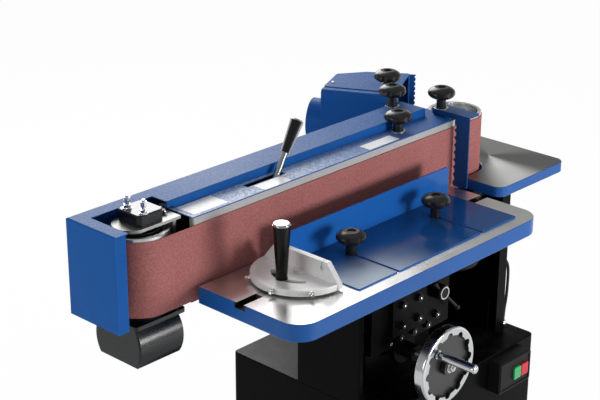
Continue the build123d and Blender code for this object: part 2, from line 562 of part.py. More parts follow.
# Mitre gauge: bar in the table slot, protractor on it, upright clamp handle
BAR_X = (TABLE_X[0] + 52, TABLE_X[0] + 274)
BAR_BOTTOM = TABLE_TOP - 10
BAR_TOP = TABLE_TOP - 0.5
GAUGE_X = TABLE_X[0] + 160
GAUGE_RADIUS = 95.0
GAUGE_Z = (TABLE_TOP + 4, TABLE_TOP + 16)
GAUGE_RIM = 10.0
GAUGE_DISH = 3.0
GAUGE_WALL = 12.0
GAUGE_WALL_TOP = TABLE_TOP + 50
GAUGE_HALF = 97.0
GAUGE_HALF_TOP = 67.0
HANDLE_REACH = 50.0
HANDLE_X = GAUGE_X - HANDLE_REACH
HANDLE_STUD = 5.0

with BuildPart() as mitre_bar:
    slab(BAR_X, about(SLOT_Y, SLOT_WIDTH / 2 - FIT), (BAR_BOTTOM, BAR_TOP))
    chamfer(mitre_bar.edges().filter_by(Axis.Y), 1)
    upright(HANDLE_X, SLOT_Y, (BAR_BOTTOM - 1, BAR_TOP + 1), HANDLE_STUD + FIT, Mode.SUBTRACT)
    upright(GAUGE_X, SLOT_Y, (BAR_BOTTOM, GAUGE_Z[1] - 2), 6)
save(mitre_bar, "mitre_bar")

with BuildPart() as protractor:
    with BuildSketch(Plane.XY.offset(GAUGE_Z[0])) as half_disc:
        with Locations((GAUGE_X, SLOT_Y)):
            Circle(GAUGE_RADIUS)
        with Locations((GAUGE_X + GAUGE_RADIUS / 2, SLOT_Y)):
            Rectangle(GAUGE_RADIUS, 2 * GAUGE_RADIUS, mode=Mode.SUBTRACT)
    extrude(amount=GAUGE_Z[1] - GAUGE_Z[0])
    fillet(protractor.faces().sort_by(Axis.Z)[-1].edges(), 2)
    with BuildSketch(Plane.XY.offset(GAUGE_Z[1] - GAUGE_DISH)) as dish:
        with Locations((GAUGE_X, SLOT_Y)):
            Circle(GAUGE_RADIUS - GAUGE_RIM)
        with Locations((GAUGE_X + GAUGE_RADIUS / 2, SLOT_Y)):
            Rectangle(GAUGE_RADIUS, 2 * GAUGE_RADIUS, mode=Mode.SUBTRACT)
    extrude(amount=GAUGE_DISH + 1, mode=Mode.SUBTRACT)
    with BuildSketch(Plane.XY.offset(GAUGE_Z[0] - 1)) as arc_slot:
        with BuildLine() as slot_line:
            CenterArc((GAUGE_X, SLOT_Y), HANDLE_REACH, 180 - 50, 100)
        SlotArc(slot_line.wires()[0], 2 * HANDLE_STUD + 2)
    extrude(amount=GAUGE_Z[1] - GAUGE_Z[0] + 2, mode=Mode.SUBTRACT)
    wall_shape = [(SLOT_Y - GAUGE_HALF, GAUGE_Z[0]), (SLOT_Y + GAUGE_HALF, GAUGE_Z[0]),
                  (SLOT_Y + GAUGE_HALF, GAUGE_Z[1] - 3), (SLOT_Y + GAUGE_HALF_TOP, GAUGE_WALL_TOP),
                  (SLOT_Y - GAUGE_HALF_TOP, GAUGE_WALL_TOP), (SLOT_Y - GAUGE_HALF, GAUGE_Z[1] - 3)]
    prism(plane_along_x(GAUGE_X), wall_shape, GAUGE_WALL)
    through_wall = (GAUGE_X - 1, GAUGE_X + GAUGE_WALL + 1)
    slit_y = SLOT_Y - GAUGE_HALF_TOP + 12
    slab(through_wall, about(slit_y, 1), (GAUGE_WALL_TOP - 14, GAUGE_WALL_TOP + 1), Mode.SUBTRACT)
    lengthwise(slit_y, GAUGE_WALL_TOP - 14, through_wall, 4.5, Mode.SUBTRACT)
    upright(GAUGE_X, SLOT_Y, (GAUGE_Z[0], GAUGE_Z[1] + 3), 14)
    upright(GAUGE_X, SLOT_Y, (BAR_TOP + FIT, GAUGE_Z[0]), SLOT_WIDTH / 2 - FIT)
    upright(GAUGE_X, SLOT_Y, (BAR_TOP, GAUGE_Z[1]), 6 + RUNNING_FIT, Mode.SUBTRACT)
save(protractor, "protractor")

with BuildPart() as mitre_handle:
    handle_bottom = GAUGE_Z[1] - GAUGE_DISH + FIT
    handle_top = GAUGE_Z[1] + FIT + 106
    upright(HANDLE_X, SLOT_Y, (handle_bottom, handle_bottom + 3), 11.5)
    cone((HANDLE_X, SLOT_Y, handle_bottom + 3), (HANDLE_X, SLOT_Y, handle_top), 10.5, 17)
    upright(HANDLE_X, SLOT_Y, (handle_top, handle_top + 4), 16.5)
    fillet(mitre_handle.edges().group_by(Axis.Z)[-1], 2.5)
    upright(HANDLE_X, SLOT_Y, (BAR_BOTTOM + 0.5, handle_bottom), HANDLE_STUD)
save(mitre_handle, "mitre_handle")

# Belt, platen and head beam
PLATEN_X = (IDLER_X + DRUM_RADIUS + 24, DRIVE_X - DRUM_RADIUS - 10)
PAD_FRONT_Y = BELT_FRONT_Y + BELT_THICKNESS + FIT
PAD = 1.0
PLATEN = 10.0
PLATEN_FRONT_Y = PAD_FRONT_Y + PAD
BEAM_Y = (PLATEN_FRONT_Y + PLATEN, PLATEN_FRONT_Y + PLATEN + 80)
BEAM_BOTTOM = BELT_BOTTOM - 10
BEAM_WALL = 6.0
ROD_Y = -75.0
ROD_Z = BELT_TOP - 13
ROD_RADIUS = 7.0
LEVER_X = -490.0
ROD_WEB_X = LEVER_X - 131
ROD_END_X = LEVER_X - 26
LEVER_Y = -91.0
LEVER_Z = BELT_TOP - 33
LEVER_PIN = 6.0
LEVER_SLOT_X = (-548.0, -443.0)
LEVER_SLOT = 14.5

with BuildPart() as sanding_belt:
    with BuildSketch(Plane.XY.offset(BELT_BOTTOM)):
        with Locations(((IDLER_X + DRIVE_X) / 2, DRUM_Y)):
            SlotCenterToCenter(DRUM_SPACING, 2 * BELT_OUTER)
            SlotCenterToCenter(DRUM_SPACING, 2 * BELT_INNER, mode=Mode.SUBTRACT)
    extrude(amount=BELT_WIDTH)
save(sanding_belt, "sanding_belt")

with BuildPart() as graphite_pad:
    slab(PLATEN_X, (PAD_FRONT_Y, PLATEN_FRONT_Y), (BELT_BOTTOM, BELT_TOP))
save(graphite_pad, "graphite_pad")

with BuildPart() as platen:
    slab(PLATEN_X, (PLATEN_FRONT_Y, BEAM_Y[0]), (BELT_BOTTOM - 2, PLATEN_TOP))
    fillet(platen.edges().filter_by(Axis.Z).group_by(Axis.Y)[0], 4)
save(platen, "platen")

with BuildPart() as head_beam:
    slab(PLATEN_X, BEAM_Y, (BEAM_BOTTOM, PLATEN_TOP))
    slab((PLATEN_X[0] - 1, PLATEN_X[1] + 1), (BEAM_Y[0] + BEAM_WALL, BEAM_Y[1] - BEAM_WALL),
         (BEAM_BOTTOM + BEAM_WALL, PLATEN_TOP - BEAM_WALL), Mode.SUBTRACT)
    for web_x in (PLATEN_X[0], ROD_WEB_X):
        slab((web_x, web_x + 8), (BEAM_Y[0] + 1, BEAM_Y[1] - 1), (BEAM_BOTTOM + 1, PLATEN_TOP - 1))
    rod_hole = (PLATEN_X[0] - 1, ROD_WEB_X + 20)
    lengthwise(ROD_Y, ROD_Z, rod_hole, ROD_RADIUS + RUNNING_FIT, Mode.SUBTRACT)
    slab((LEVER_SLOT_X[0] - 4, LEVER_SLOT_X[1] + 4), (LEVER_Y - 9, LEVER_Y + 9),
         (PLATEN_TOP - BEAM_WALL - 1, PLATEN_TOP + 1), Mode.SUBTRACT)
    crosswise(LEVER_X, LEVER_Z, (BEAM_Y[0] - 1, BEAM_Y[1] + 1), LEVER_PIN + RUNNING_FIT, Mode.SUBTRACT)
    upright(*PLATEN_KNOB, (PLATEN_TOP - 10, PLATEN_TOP + 1), STUD_HOLE, Mode.SUBTRACT)
save(head_beam, "head_beam")

COVER_X = (PLATEN_X[0] - 2, PLATEN_X[1] + 5)
COVER_Y = (PLATEN_FRONT_Y - 1.5, BEAM_Y[1] + 4)
STOP_PAD = STOP_TOP - 3 - COVER_TOP

with BuildPart() as platen_cover:
    slab(COVER_X, COVER_Y, (PLATEN_TOP, COVER_TOP))
    fillet(platen_cover.edges().filter_by(Axis.X).group_by(Axis.Z)[-1].group_by(Axis.Y)[0], 1.5)
    pad_z = (COVER_TOP - 1, COVER_TOP + STOP_PAD)
    slab((STOP_KNOB[0] - 7, COVER_X[1]), about(STOP_KNOB[1], 16), pad_z)
    through = (PLATEN_TOP - 1, COVER_TOP + 1)
    slab(LEVER_SLOT_X, about(LEVER_Y, LEVER_SLOT / 2), through, Mode.SUBTRACT)
    for stud_x, stud_y in (PLATEN_KNOB, STOP_KNOB):
        upright(stud_x, stud_y, (PLATEN_TOP - 1, STOP_TOP), STUD_HOLE, Mode.SUBTRACT)
save(platen_cover, "platen_cover")

# Belt guard: end guard round the idler drum and long back cover in one sheet piece
GUARD_X = (-914.0, 24.0)
GUARD_Y = (-137.0, -1.0)
GUARD_BOTTOM = BELT_BOTTOM - 6
GUARD_FLANGE = 24.5
CUT_X = (-884.0, -736.0)
CUT_BACK_Y = -34.0
LIP_Y = -75.0
LIP_NOTCH = 16.0

with BuildPart() as belt_guard:
    roof = (GUARD_TOP - SHEET, GUARD_TOP)
    sides = (GUARD_BOTTOM, GUARD_TOP)
    slab((GUARD_X[0], CUT_X[0]), GUARD_Y, roof)
    slab((GUARD_X[0], CUT_X[1]), (CUT_BACK_Y, GUARD_Y[1]), roof)
    slab((CUT_X[1], GUARD_X[1]), (LIP_Y, GUARD_Y[1]), roof)
    slab((GUARD_X[0], GUARD_X[0] + SHEET), GUARD_Y, sides)
    slab((GUARD_X[0], GUARD_X[0] + GUARD_FLANGE), (GUARD_Y[0], GUARD_Y[0] + SHEET), sides)
    slab(GUARD_X, (GUARD_Y[1] - SHEET, GUARD_Y[1]), sides)
    slab((CUT_X[1], GUARD_X[1]), (LIP_Y, LIP_Y + SHEET), (COVER_TOP, GUARD_TOP))
    slab((GUARD_X[1] - SHEET, GUARD_X[1]), (LIP_Y, GUARD_Y[1]), (COVER_TOP, GUARD_TOP))
    notch_z = (COVER_TOP - 1, COVER_TOP + 6)
    slab((CUT_X[1] - 1, CUT_X[1] + LIP_NOTCH), about(LIP_Y, 4), notch_z, Mode.SUBTRACT)
    roof_edges = belt_guard.edges().filter_by_position(Axis.Z, *about(GUARD_TOP, 0.1))
    lip_edge = roof_edges.filter_by(Axis.X).filter_by_position(Axis.Y, *about(LIP_Y, 0.1))
    back_edge = roof_edges.filter_by(Axis.X).filter_by_position(Axis.Y, *about(GUARD_Y[1], 0.1))
    end_edge = roof_edges.filter_by(Axis.Y).filter_by_position(Axis.X, *about(GUARD_X[0], 0.1))
    fillet(lip_edge + back_edge + end_edge, 3)
    upright(*GUARD_KNOB, (GUARD_TOP - 5, GUARD_TOP + 1), STUD_HOLE, Mode.SUBTRACT)
save(belt_guard, "belt_guard")

# Drive end: motor, its plate and shaft, drive drum
MOTOR_RADIUS = 76.0
MOTOR_Z = (BEAM_BOTTOM - 168, BEAM_BOTTOM - 12)
MOTOR_FINS = 28
FAN_COVER_BOTTOM = MOTOR_Z[0] - 35
MOTOR_SHAFT = 12.0
MOTOR_BORE = MOTOR_SHAFT + RUNNING_FIT
MOTOR_PLATE_X = (TABLE_RIGHT_X + 17, 240.0)
MOTOR_PLATE_Y = (-158.0, 8.0)
DRUM_WALL = 8.0
DRUM_HUB = 25.0
DRUM_RECESS = 26.0

with BuildPart() as motor_plate:
    slab(MOTOR_PLATE_X, MOTOR_PLATE_Y, (MOTOR_Z[1], BEAM_BOTTOM))
    upright(DRIVE_X, DRUM_Y, (MOTOR_Z[1] - 1, BEAM_BOTTOM + 1), MOTOR_SHAFT + 6, Mode.SUBTRACT)
    fillet(motor_plate.edges().filter_by(Axis.Z).group_by(Axis.X)[-1], 10)
save(motor_plate, "motor_plate")

with BuildPart() as motor_housing:
    upright(DRIVE_X, DRUM_Y, (MOTOR_Z[0], MOTOR_Z[1]), MOTOR_RADIUS - 8)
    upright(DRIVE_X, DRUM_Y, (MOTOR_Z[1] - 16, MOTOR_Z[1]), MOTOR_RADIUS)
    with BuildSketch(Plane.XY.offset(MOTOR_Z[0] + 6)) as fins:
        with Locations((DRIVE_X, DRUM_Y)):
            with PolarLocations(MOTOR_RADIUS - 8, MOTOR_FINS):
                Rectangle(16, 3)
    extrude(fins.sketch, amount=MOTOR_Z[1] - MOTOR_Z[0] - 20)
    upright(DRIVE_X, DRUM_Y, (MOTOR_Z[0] + 30, MOTOR_Z[1] + 1), MOTOR_BORE, Mode.SUBTRACT)
save(motor_housing, "motor_housing")

with BuildPart() as motor_fan_cover:
    upright(DRIVE_X, DRUM_Y, (FAN_COVER_BOTTOM, MOTOR_Z[0]), MOTOR_RADIUS - 2)
    fillet(motor_fan_cover.edges().group_by(Axis.Z)[0], 10)
    upright(DRIVE_X, DRUM_Y, (FAN_COVER_BOTTOM + 2, MOTOR_Z[0] - 4), MOTOR_RADIUS - 12, Mode.SUBTRACT)
    for vent_radius in (20, 34, 48):
        with BuildSketch(Plane.XY.offset(FAN_COVER_BOTTOM - 1)) as vents:
            with Locations((DRIVE_X, DRUM_Y)):
                with PolarLocations(vent_radius, 10):
                    Circle(4)
        extrude(vents.sketch, amount=5, mode=Mode.SUBTRACT)
save(motor_fan_cover, "motor_fan_cover")

with BuildPart() as motor_shaft:
    upright(DRIVE_X, DRUM_Y, (MOTOR_Z[0] + 31, DRUM_TOP - DRUM_RECESS + 8), MOTOR_SHAFT)
    chamfer(motor_shaft.edges().group_by(Axis.Z)[-1], 1.5)
save(motor_shaft, "motor_shaft")


def drum(name, x, bore):
    """Hollow drum with a hub and a web set down from its top rim."""
    web = (DRUM_TOP - DRUM_RECESS - 12, DRUM_TOP - DRUM_RECESS)
    with BuildPart() as body:
        upright(x, DRUM_Y, (DRUM_BOTTOM, DRUM_TOP), DRUM_RADIUS)
        chamfer(body.edges(), 1)
        upright(x, DRUM_Y, (web[1], DRUM_TOP + 1), DRUM_RADIUS - DRUM_WALL, Mode.SUBTRACT)
        upright(x, DRUM_Y, (DRUM_BOTTOM - 1, web[0]), DRUM_RADIUS - DRUM_WALL, Mode.SUBTRACT)
        upright(x, DRUM_Y, (DRUM_BOTTOM + 20, web[1] + 4), DRUM_HUB)
        upright(x, DRUM_Y, (DRUM_BOTTOM - 1, DRUM_TOP), bore, Mode.SUBTRACT)
    save(body, name)


IDLER_SHAFT = 10.0
IDLER_BORE = IDLER_SHAFT + RUNNING_FIT
drum("drive_drum", DRIVE_X, MOTOR_BORE)
drum("idler_drum", IDLER_X, IDLER_BORE)

# Idler end: yoke, bearing block, quill, tracking screws, gearbox and tension rod
YOKE_GAP = 0.5
YOKE_PLATE = 6.0
YOKE_WEB = 8.0
YOKE_BOTTOM = DRUM_TOP + BELT_LIFT + YOKE_GAP
YOKE_Z = (YOKE_BOTTOM, YOKE_BOTTOM + YOKE_PLATE)
YOKE_X = (-860.0, -737.0)
YOKE_Y = (-113.0, -40.0)
BLOCK_TOP = BELT_TOP + 42
BLOCK_X = (-832.0, -770.0)
BLOCK_Y = (-107.0, -44.0)
QUILL_RADIUS = 15.0
QUILL_Z = (YOKE_Z[0], BLOCK_TOP - 11)
TRACK_SCREWS = [(-819.0, -60.0), (-814.0, -100.0)]
TRACK_STUD = 4.0
TRACK_HOLE_DEPTH = 3.0
TRACK_WASHER = 8.5
TRACK_TOP = BLOCK_TOP + 27
TRACK_NUTS = [(13.0, BLOCK_TOP + 2, 6.0), (11.0, BLOCK_TOP + 14, 9.0)]
GEAR_X = (-862.0, -752.0)
GEAR_Y = -68.0
GEAR_RADIUS = 64.0
GEAR_CENTRE_Z = BELT_BOTTOM - 62
GEAR_BOTTOM = BELT_BOTTOM - 100
GEAR_PLATE_Z = (BELT_BOTTOM - 23, BELT_BOTTOM - 15)
GEAR_PLATE_Y = (-122.0, -14.0)
GEAR_WALL = 3.0
WORM_Z = (GEAR_BOTTOM + 20, GEAR_BOTTOM + 68)
OSC_RADIUS = 18.0
OSC_X = IDLER_X + IDLER_SHAFT + 0.5 + OSC_RADIUS
OSC_Z = GEAR_CENTRE_Z + 6
OSC_AXLE = 4.0
OSC_LUGS_Y = (DRUM_Y - 28, DRUM_Y + 22)

with BuildPart() as tension_yoke:
    slab(YOKE_X, YOKE_Y, YOKE_Z)
    fillet(tension_yoke.edges().filter_by(Axis.Z).group_by(Axis.X)[0], 34)
    slab((YOKE_X[1] - YOKE_WEB, YOKE_X[1]), (-100, -48), (GEAR_PLATE_Z[1], YOKE_Z[1]))
    upright(IDLER_X, DRUM_Y, (YOKE_Z[0] - 1, YOKE_Z[1] + 1), QUILL_RADIUS + 2, Mode.SUBTRACT)
save(tension_yoke, "tension_yoke")

with BuildPart() as bearing_block:
    slab(BLOCK_X, BLOCK_Y, (YOKE_Z[1], BLOCK_TOP))
    chamfer(bearing_block.edges().filter_by(Axis.Z), 7)
    chamfer(bearing_block.faces().sort_by(Axis.Z)[-1].edges(), 2)
    upright(IDLER_X, DRUM_Y, (YOKE_Z[1] - 1, BLOCK_TOP - 4), QUILL_RADIUS + RUNNING_FIT, Mode.SUBTRACT)
    for screw_x, screw_y in TRACK_SCREWS:
        hole_z = (BLOCK_TOP - TRACK_HOLE_DEPTH, BLOCK_TOP + 1)
        upright(screw_x, screw_y, hole_z, TRACK_STUD + FIT, Mode.SUBTRACT)
save(bearing_block, "bearing_block")

with BuildPart() as bearing_quill:
    upright(IDLER_X, DRUM_Y, (QUILL_Z[0], QUILL_Z[1]), QUILL_RADIUS)
    upright(IDLER_X, DRUM_Y, (QUILL_Z[0] - 1, QUILL_Z[1] + 1), IDLER_BORE, Mode.SUBTRACT)
save(bearing_quill, "bearing_quill")

with BuildPart() as tracking_screws:
    for screw_x, screw_y in TRACK_SCREWS:
        upright(screw_x, screw_y, (BLOCK_TOP - TRACK_HOLE_DEPTH + FIT, TRACK_TOP), TRACK_STUD)
        upright(screw_x, screw_y, (BLOCK_TOP, BLOCK_TOP + 2), TRACK_WASHER)
        for flats, nut_bottom, nut_height in TRACK_NUTS:
            with BuildSketch(Plane(origin=(screw_x, screw_y, nut_bottom))) as nut:
                RegularPolygon(flats / 2, 6, major_radius=False)
            extrude(nut.sketch, amount=nut_height)
    chamfer(tracking_screws.edges().group_by(Axis.Z)[-1], 1)
save(tracking_screws, "tracking_screws")

with BuildPart() as idler_shaft:
    upright(IDLER_X, DRUM_Y, (WORM_Z[0] - 6, QUILL_Z[1] - 1), IDLER_SHAFT)
    groove_count = 8
    groove_pitch = (WORM_Z[1] - WORM_Z[0]) / groove_count
    for number in range(groove_count):
        groove_z = WORM_Z[0] + (number + 0.5) * groove_pitch
        with Locations((IDLER_X, DRUM_Y, groove_z)):
            Torus(IDLER_SHAFT + 0.6, 1.8, mode=Mode.SUBTRACT)
save(idler_shaft, "idler_shaft")

with BuildPart() as gearbox_base:
    slab((GEAR_X[0], YOKE_X[1]), GEAR_PLATE_Y, GEAR_PLATE_Z)
    fillet(gearbox_base.edges().filter_by(Axis.Z), 8)
    upright(IDLER_X, DRUM_Y, (GEAR_PLATE_Z[0] - 6, GEAR_PLATE_Z[0] + 1), 17)
    upright(IDLER_X, DRUM_Y, (GEAR_PLATE_Z[0] - 7, GEAR_PLATE_Z[1] + 1), IDLER_BORE, Mode.SUBTRACT)
    for lug_y in OSC_LUGS_Y:
        slab((OSC_X - 8, OSC_X + 8), (lug_y, lug_y + 6), (OSC_Z - 10, GEAR_PLATE_Z[0] + 1))
        crosswise(OSC_X, OSC_Z, (lug_y - 1, lug_y + 7), OSC_AXLE + RUNNING_FIT, Mode.SUBTRACT)
save(gearbox_base, "gearbox_base")

with BuildPart() as oscillation_wheel:
    axle_y = (OSC_LUGS_Y[0] - 2, OSC_LUGS_Y[1] + 8)
    crosswise(OSC_X, OSC_Z, (DRUM_Y - 7, DRUM_Y + 7), OSC_RADIUS)
    with BuildSketch(plane_along_y(DRUM_Y + 8)) as gaps:
        with Locations((OSC_X, OSC_Z)):
            with PolarLocations(OSC_RADIUS, 24):
                Rectangle(4, 2.2)
    extrude(gaps.sketch, amount=16, mode=Mode.SUBTRACT)
    crosswise(OSC_X, OSC_Z, (axle_y[0], axle_y[1]), OSC_AXLE)
    crosswise(OSC_X + 9, OSC_Z, (DRUM_Y + 7, DRUM_Y + 15), 3)
save(oscillation_wheel, "oscillation_wheel")

with BuildPart() as gearbox_cover:
    with BuildSketch(plane_along_x(GEAR_X[0])) as shell_shape:
        with Locations((GEAR_Y, GEAR_CENTRE_Z)):
            Circle(GEAR_RADIUS)
        with Locations((GEAR_Y, (GEAR_BOTTOM + GEAR_PLATE_Z[0]) / 2)):
            Rectangle(2 * GEAR_RADIUS, GEAR_PLATE_Z[0] - GEAR_BOTTOM, mode=Mode.INTERSECT)
    extrude(shell_shape.sketch, amount=GEAR_X[1] - GEAR_X[0])
    ends = gearbox_cover.faces().sort_by(Axis.X)
    end_edges = ends[0].edges() + ends[-1].edges()
    fillet(end_edges.filter_by(lambda edge: edge.center().Z < GEAR_PLATE_Z[0] - 1), 4)
    with BuildSketch(plane_along_x(GEAR_X[0] + GEAR_WALL)) as hollow:
        with Locations((GEAR_Y, GEAR_CENTRE_Z)):
            Circle(GEAR_RADIUS - GEAR_WALL)
        inner_z = (GEAR_BOTTOM + GEAR_WALL, GEAR_PLATE_Z[0] + 10)
        with Locations((GEAR_Y, sum(inner_z) / 2)):
            Rectangle(2 * GEAR_RADIUS, inner_z[1] - inner_z[0], mode=Mode.INTERSECT)
    extrude(hollow.sketch, amount=GEAR_X[1] - GEAR_X[0] - 2 * GEAR_WALL, mode=Mode.SUBTRACT)
save(gearbox_cover, "gearbox_cover")

with BuildPart() as tension_rod:
    lengthwise(ROD_Y, ROD_Z, (YOKE_X[1], ROD_END_X), ROD_RADIUS)
    chamfer(tension_rod.edges().group_by(Axis.X)[-1], 1)
save(tension_rod, "tension_rod")

# Tension lever with its grip
LEVER_LEAN = radians(30.5)
LEVER_ROD = 6.0
GRIP_START = 105.0
GRIP_END = 175.0
GRIP_FOOT = 9.5
GRIP_RADIUS = 14.0


def along_lever(distance):
    """Point on the lever's centre line at a distance from its pivot."""
    return (LEVER_X + distance * sin(LEVER_LEAN), LEVER_Y, LEVER_Z + distance * cos(LEVER_LEAN))


with BuildPart() as tension_lever:
    crosswise(LEVER_X, LEVER_Z, (BEAM_Y[0] + 0.5, BEAM_Y[1] - 0.5), LEVER_PIN)
    crosswise(LEVER_X, LEVER_Z, (LEVER_Y - 8, LEVER_Y + 8), 14)
    crosswise(LEVER_X, LEVER_Z, (ROD_Y - 7, ROD_Y + 7), 16)
    rod(along_lever(0), along_lever(GRIP_END - 12), LEVER_ROD)
save(tension_lever, "tension_lever")

with BuildPart() as lever_grip:
    cone(along_lever(GRIP_START), along_lever(GRIP_END - 3), GRIP_FOOT, GRIP_RADIUS)
    cone(along_lever(GRIP_END - 3), along_lever(GRIP_END), GRIP_RADIUS, GRIP_RADIUS - 3)
    rod(along_lever(GRIP_START - 1), along_lever(GRIP_END - 11), LEVER_ROD + RUNNING_FIT, Mode.SUBTRACT)
save(lever_grip, "lever_grip")

# Tilt brackets between the head beam and the pivot shaft
with BuildPart() as tilt_brackets:
    for bracket_x in (LUG_LEFT_X + 14, LUG_RIGHT_X - 14):
        thickness = (bracket_x, bracket_x + 12)
        slab(thickness, (BEAM_Y[0] + 4, PIVOT_Y), (PIVOT_Z - 13, BEAM_BOTTOM))
        lengthwise(PIVOT_Y, PIVOT_Z, (thickness[0], thickness[1]), 16)
        lengthwise(PIVOT_Y, PIVOT_Z, (thickness[0] - 1, thickness[1] + 1), PIVOT_BORE, Mode.SUBTRACT)
save(tilt_brackets, "tilt_brackets")

# Work stop at the right end of the belt
STOP_X = 48.0
STOP_PLATE = 3.0
STOP_Y = (-178.0, -139.0)
STOP_BOTTOM = END_TABLE_TOP - 9
STOP_NOTCHES = 8
NOTCH_PITCH = 17.0
NOTCH_RADIUS = 8.0
NOTCH_DEPTH = 4.5

with BuildPart() as work_stop:
    arm_bottom = STOP_TOP - 12
    arm_back = STOP_KNOB[1] + 14
    stop_shape = [(STOP_Y[0], STOP_BOTTOM), (STOP_Y[1], STOP_BOTTOM), (STOP_Y[1], arm_bottom),
                  (arm_back, arm_bottom), (arm_back, STOP_TOP), (STOP_Y[0], STOP_TOP)]
    prism(plane_along_x(STOP_X), stop_shape, STOP_PLATE)
    notch_y = STOP_Y[1] + NOTCH_RADIUS - NOTCH_DEPTH
    for number in range(STOP_NOTCHES):
        notch_z = STOP_BOTTOM + (number + 1.1) * NOTCH_PITCH
        lengthwise(notch_y, notch_z, (STOP_X - 1, STOP_X + 4), NOTCH_RADIUS, Mode.SUBTRACT)
    fillet(work_stop.edges().filter_by(Axis.X).group_by(Axis.Z)[0], 6)
    slab((STOP_X, STOP_X + 38), (STOP_Y[0], arm_back), (STOP_TOP - STOP_PLATE, STOP_TOP))
    fillet(work_stop.edges().filter_by(Axis.Z).group_by(Axis.X)[-1], 6)
    upright(*STOP_KNOB, (STOP_TOP - 5, STOP_TOP + 1), STUD_HOLE, Mode.SUBTRACT)
save(work_stop, "work_stop")

# End table round the drive drum, on a riser from the motor plate
END_TABLE_X = (86.0, 336.0)
END_TABLE_HALF = 169.5
END_TABLE_CORNER = 24.0
END_TABLE_CUT = BELT_OUTER + 6
END_TABLE_Y = (DRUM_Y - END_TABLE_HALF, DRUM_Y + END_TABLE_HALF)
END_TABLE_BOTTOM = END_TABLE_TOP - END_TABLE_RIM
END_PLATE_BOTTOM = END_TABLE_TOP - END_TABLE_PLATE

with BuildPart() as end_table:
    with BuildSketch(Plane.XY.offset(END_TABLE_TOP)) as end_outline:
        with Locations((sum(END_TABLE_X) / 2, DRUM_Y)):
            Rectangle(END_TABLE_X[1] - END_TABLE_X[0], 2 * END_TABLE_HALF)
        fillet(end_outline.vertices(), END_TABLE_CORNER)
        with Locations((DRIVE_X, DRUM_Y)):
            Circle(END_TABLE_CUT, mode=Mode.SUBTRACT)
        with Locations((DRIVE_X - 50, DRUM_Y)):
            Rectangle(100, 2 * END_TABLE_CUT, mode=Mode.SUBTRACT)
    extrude(amount=-END_TABLE_RIM)
    fillet(end_table.faces().sort_by(Axis.Z)[0].edges(), 2)
    chamfer(end_table.faces().sort_by(Axis.Z)[-1].edges(), 1)
    pocket_z = (END_TABLE_BOTTOM, END_PLATE_BOTTOM)
    drum_right = DRIVE_X + END_TABLE_CUT + 10
    inside_y = (END_TABLE_Y[0] + 12, END_TABLE_Y[1] - 12)
    left_x = (END_TABLE_X[0] + 26, drum_right - 10)
    slab((drum_right, END_TABLE_X[1] - 26), inside_y, pocket_z, Mode.SUBTRACT)
    slab(left_x, (inside_y[0], DRUM_Y - END_TABLE_CUT - 10), pocket_z, Mode.SUBTRACT)
    slab(left_x, (DRUM_Y + END_TABLE_CUT + 10, inside_y[1]), pocket_z, Mode.SUBTRACT)
save(end_table, "end_table")

with BuildPart() as end_table_bracket:
    riser_x = (MOTOR_PLATE_X[1] - 28, MOTOR_PLATE_X[1] - 2)
    riser_y = about(DRUM_Y, 46)
    slab(riser_x, riser_y, (BEAM_BOTTOM, END_PLATE_BOTTOM))
    slab((riser_x[0], END_TABLE_X[1] - 30), riser_y, (END_PLATE_BOTTOM - 8, END_PLATE_BOTTOM))
save(end_table_bracket, "end_table_bracket")

# Dust hood: open towards the drive drum, round port at its narrow end
HOOD_BOTTOM = BELT_BOTTOM + 42
HOOD_CORNERS = [(-70.0, 149.0), (40.0, 199.5), (98.0, 161.5), (158.0, 80.0), (20.0, 1.0), (6.0, 1.0)]
PORT_RADIUS = 50.0
PORT_WALL = 2.0
PORT_LENGTH = 40.0
PORT_Z = HOOD_BOTTOM + 65
LID_BOTTOM = LID_TOP - SHEET
HOOD_LEDGE = 21.0
HOOD_RAIL = 12.0
HOOD_ROUND = 8.0
HOOD_STRIP = 14.0
STRIP_NOTCHES = 14
STRIP_NOTCH = 2.5

front_left, back_left, back_middle, back_right, mouth_front, front_right = [
    Vector(*corner) for corner in HOOD_CORNERS
]
narrow_side = (back_left - front_left).normalized()
port_out = Vector(-narrow_side.Y, narrow_side.X)
port_foot = (front_left + back_left) * 0.5 + Vector(0, 0, PORT_Z)
port_end = port_foot + port_out * PORT_LENGTH
rail_in = narrow_side * HOOD_LEDGE
rail_edge = (front_left + front_right) * 0.5 + Vector(0, 0, LID_BOTTOM)
strip_side = (back_right - back_middle).normalized()
strip_in = Vector(strip_side.Y, -strip_side.X) * SHEET
mouth_side = back_right - mouth_front
mouth_middle = (back_right + mouth_front) * 0.5 + Vector(0, 0, (HOOD_BOTTOM + SHEET + LID_BOTTOM) / 2)
mouth_height = LID_BOTTOM - HOOD_BOTTOM - SHEET

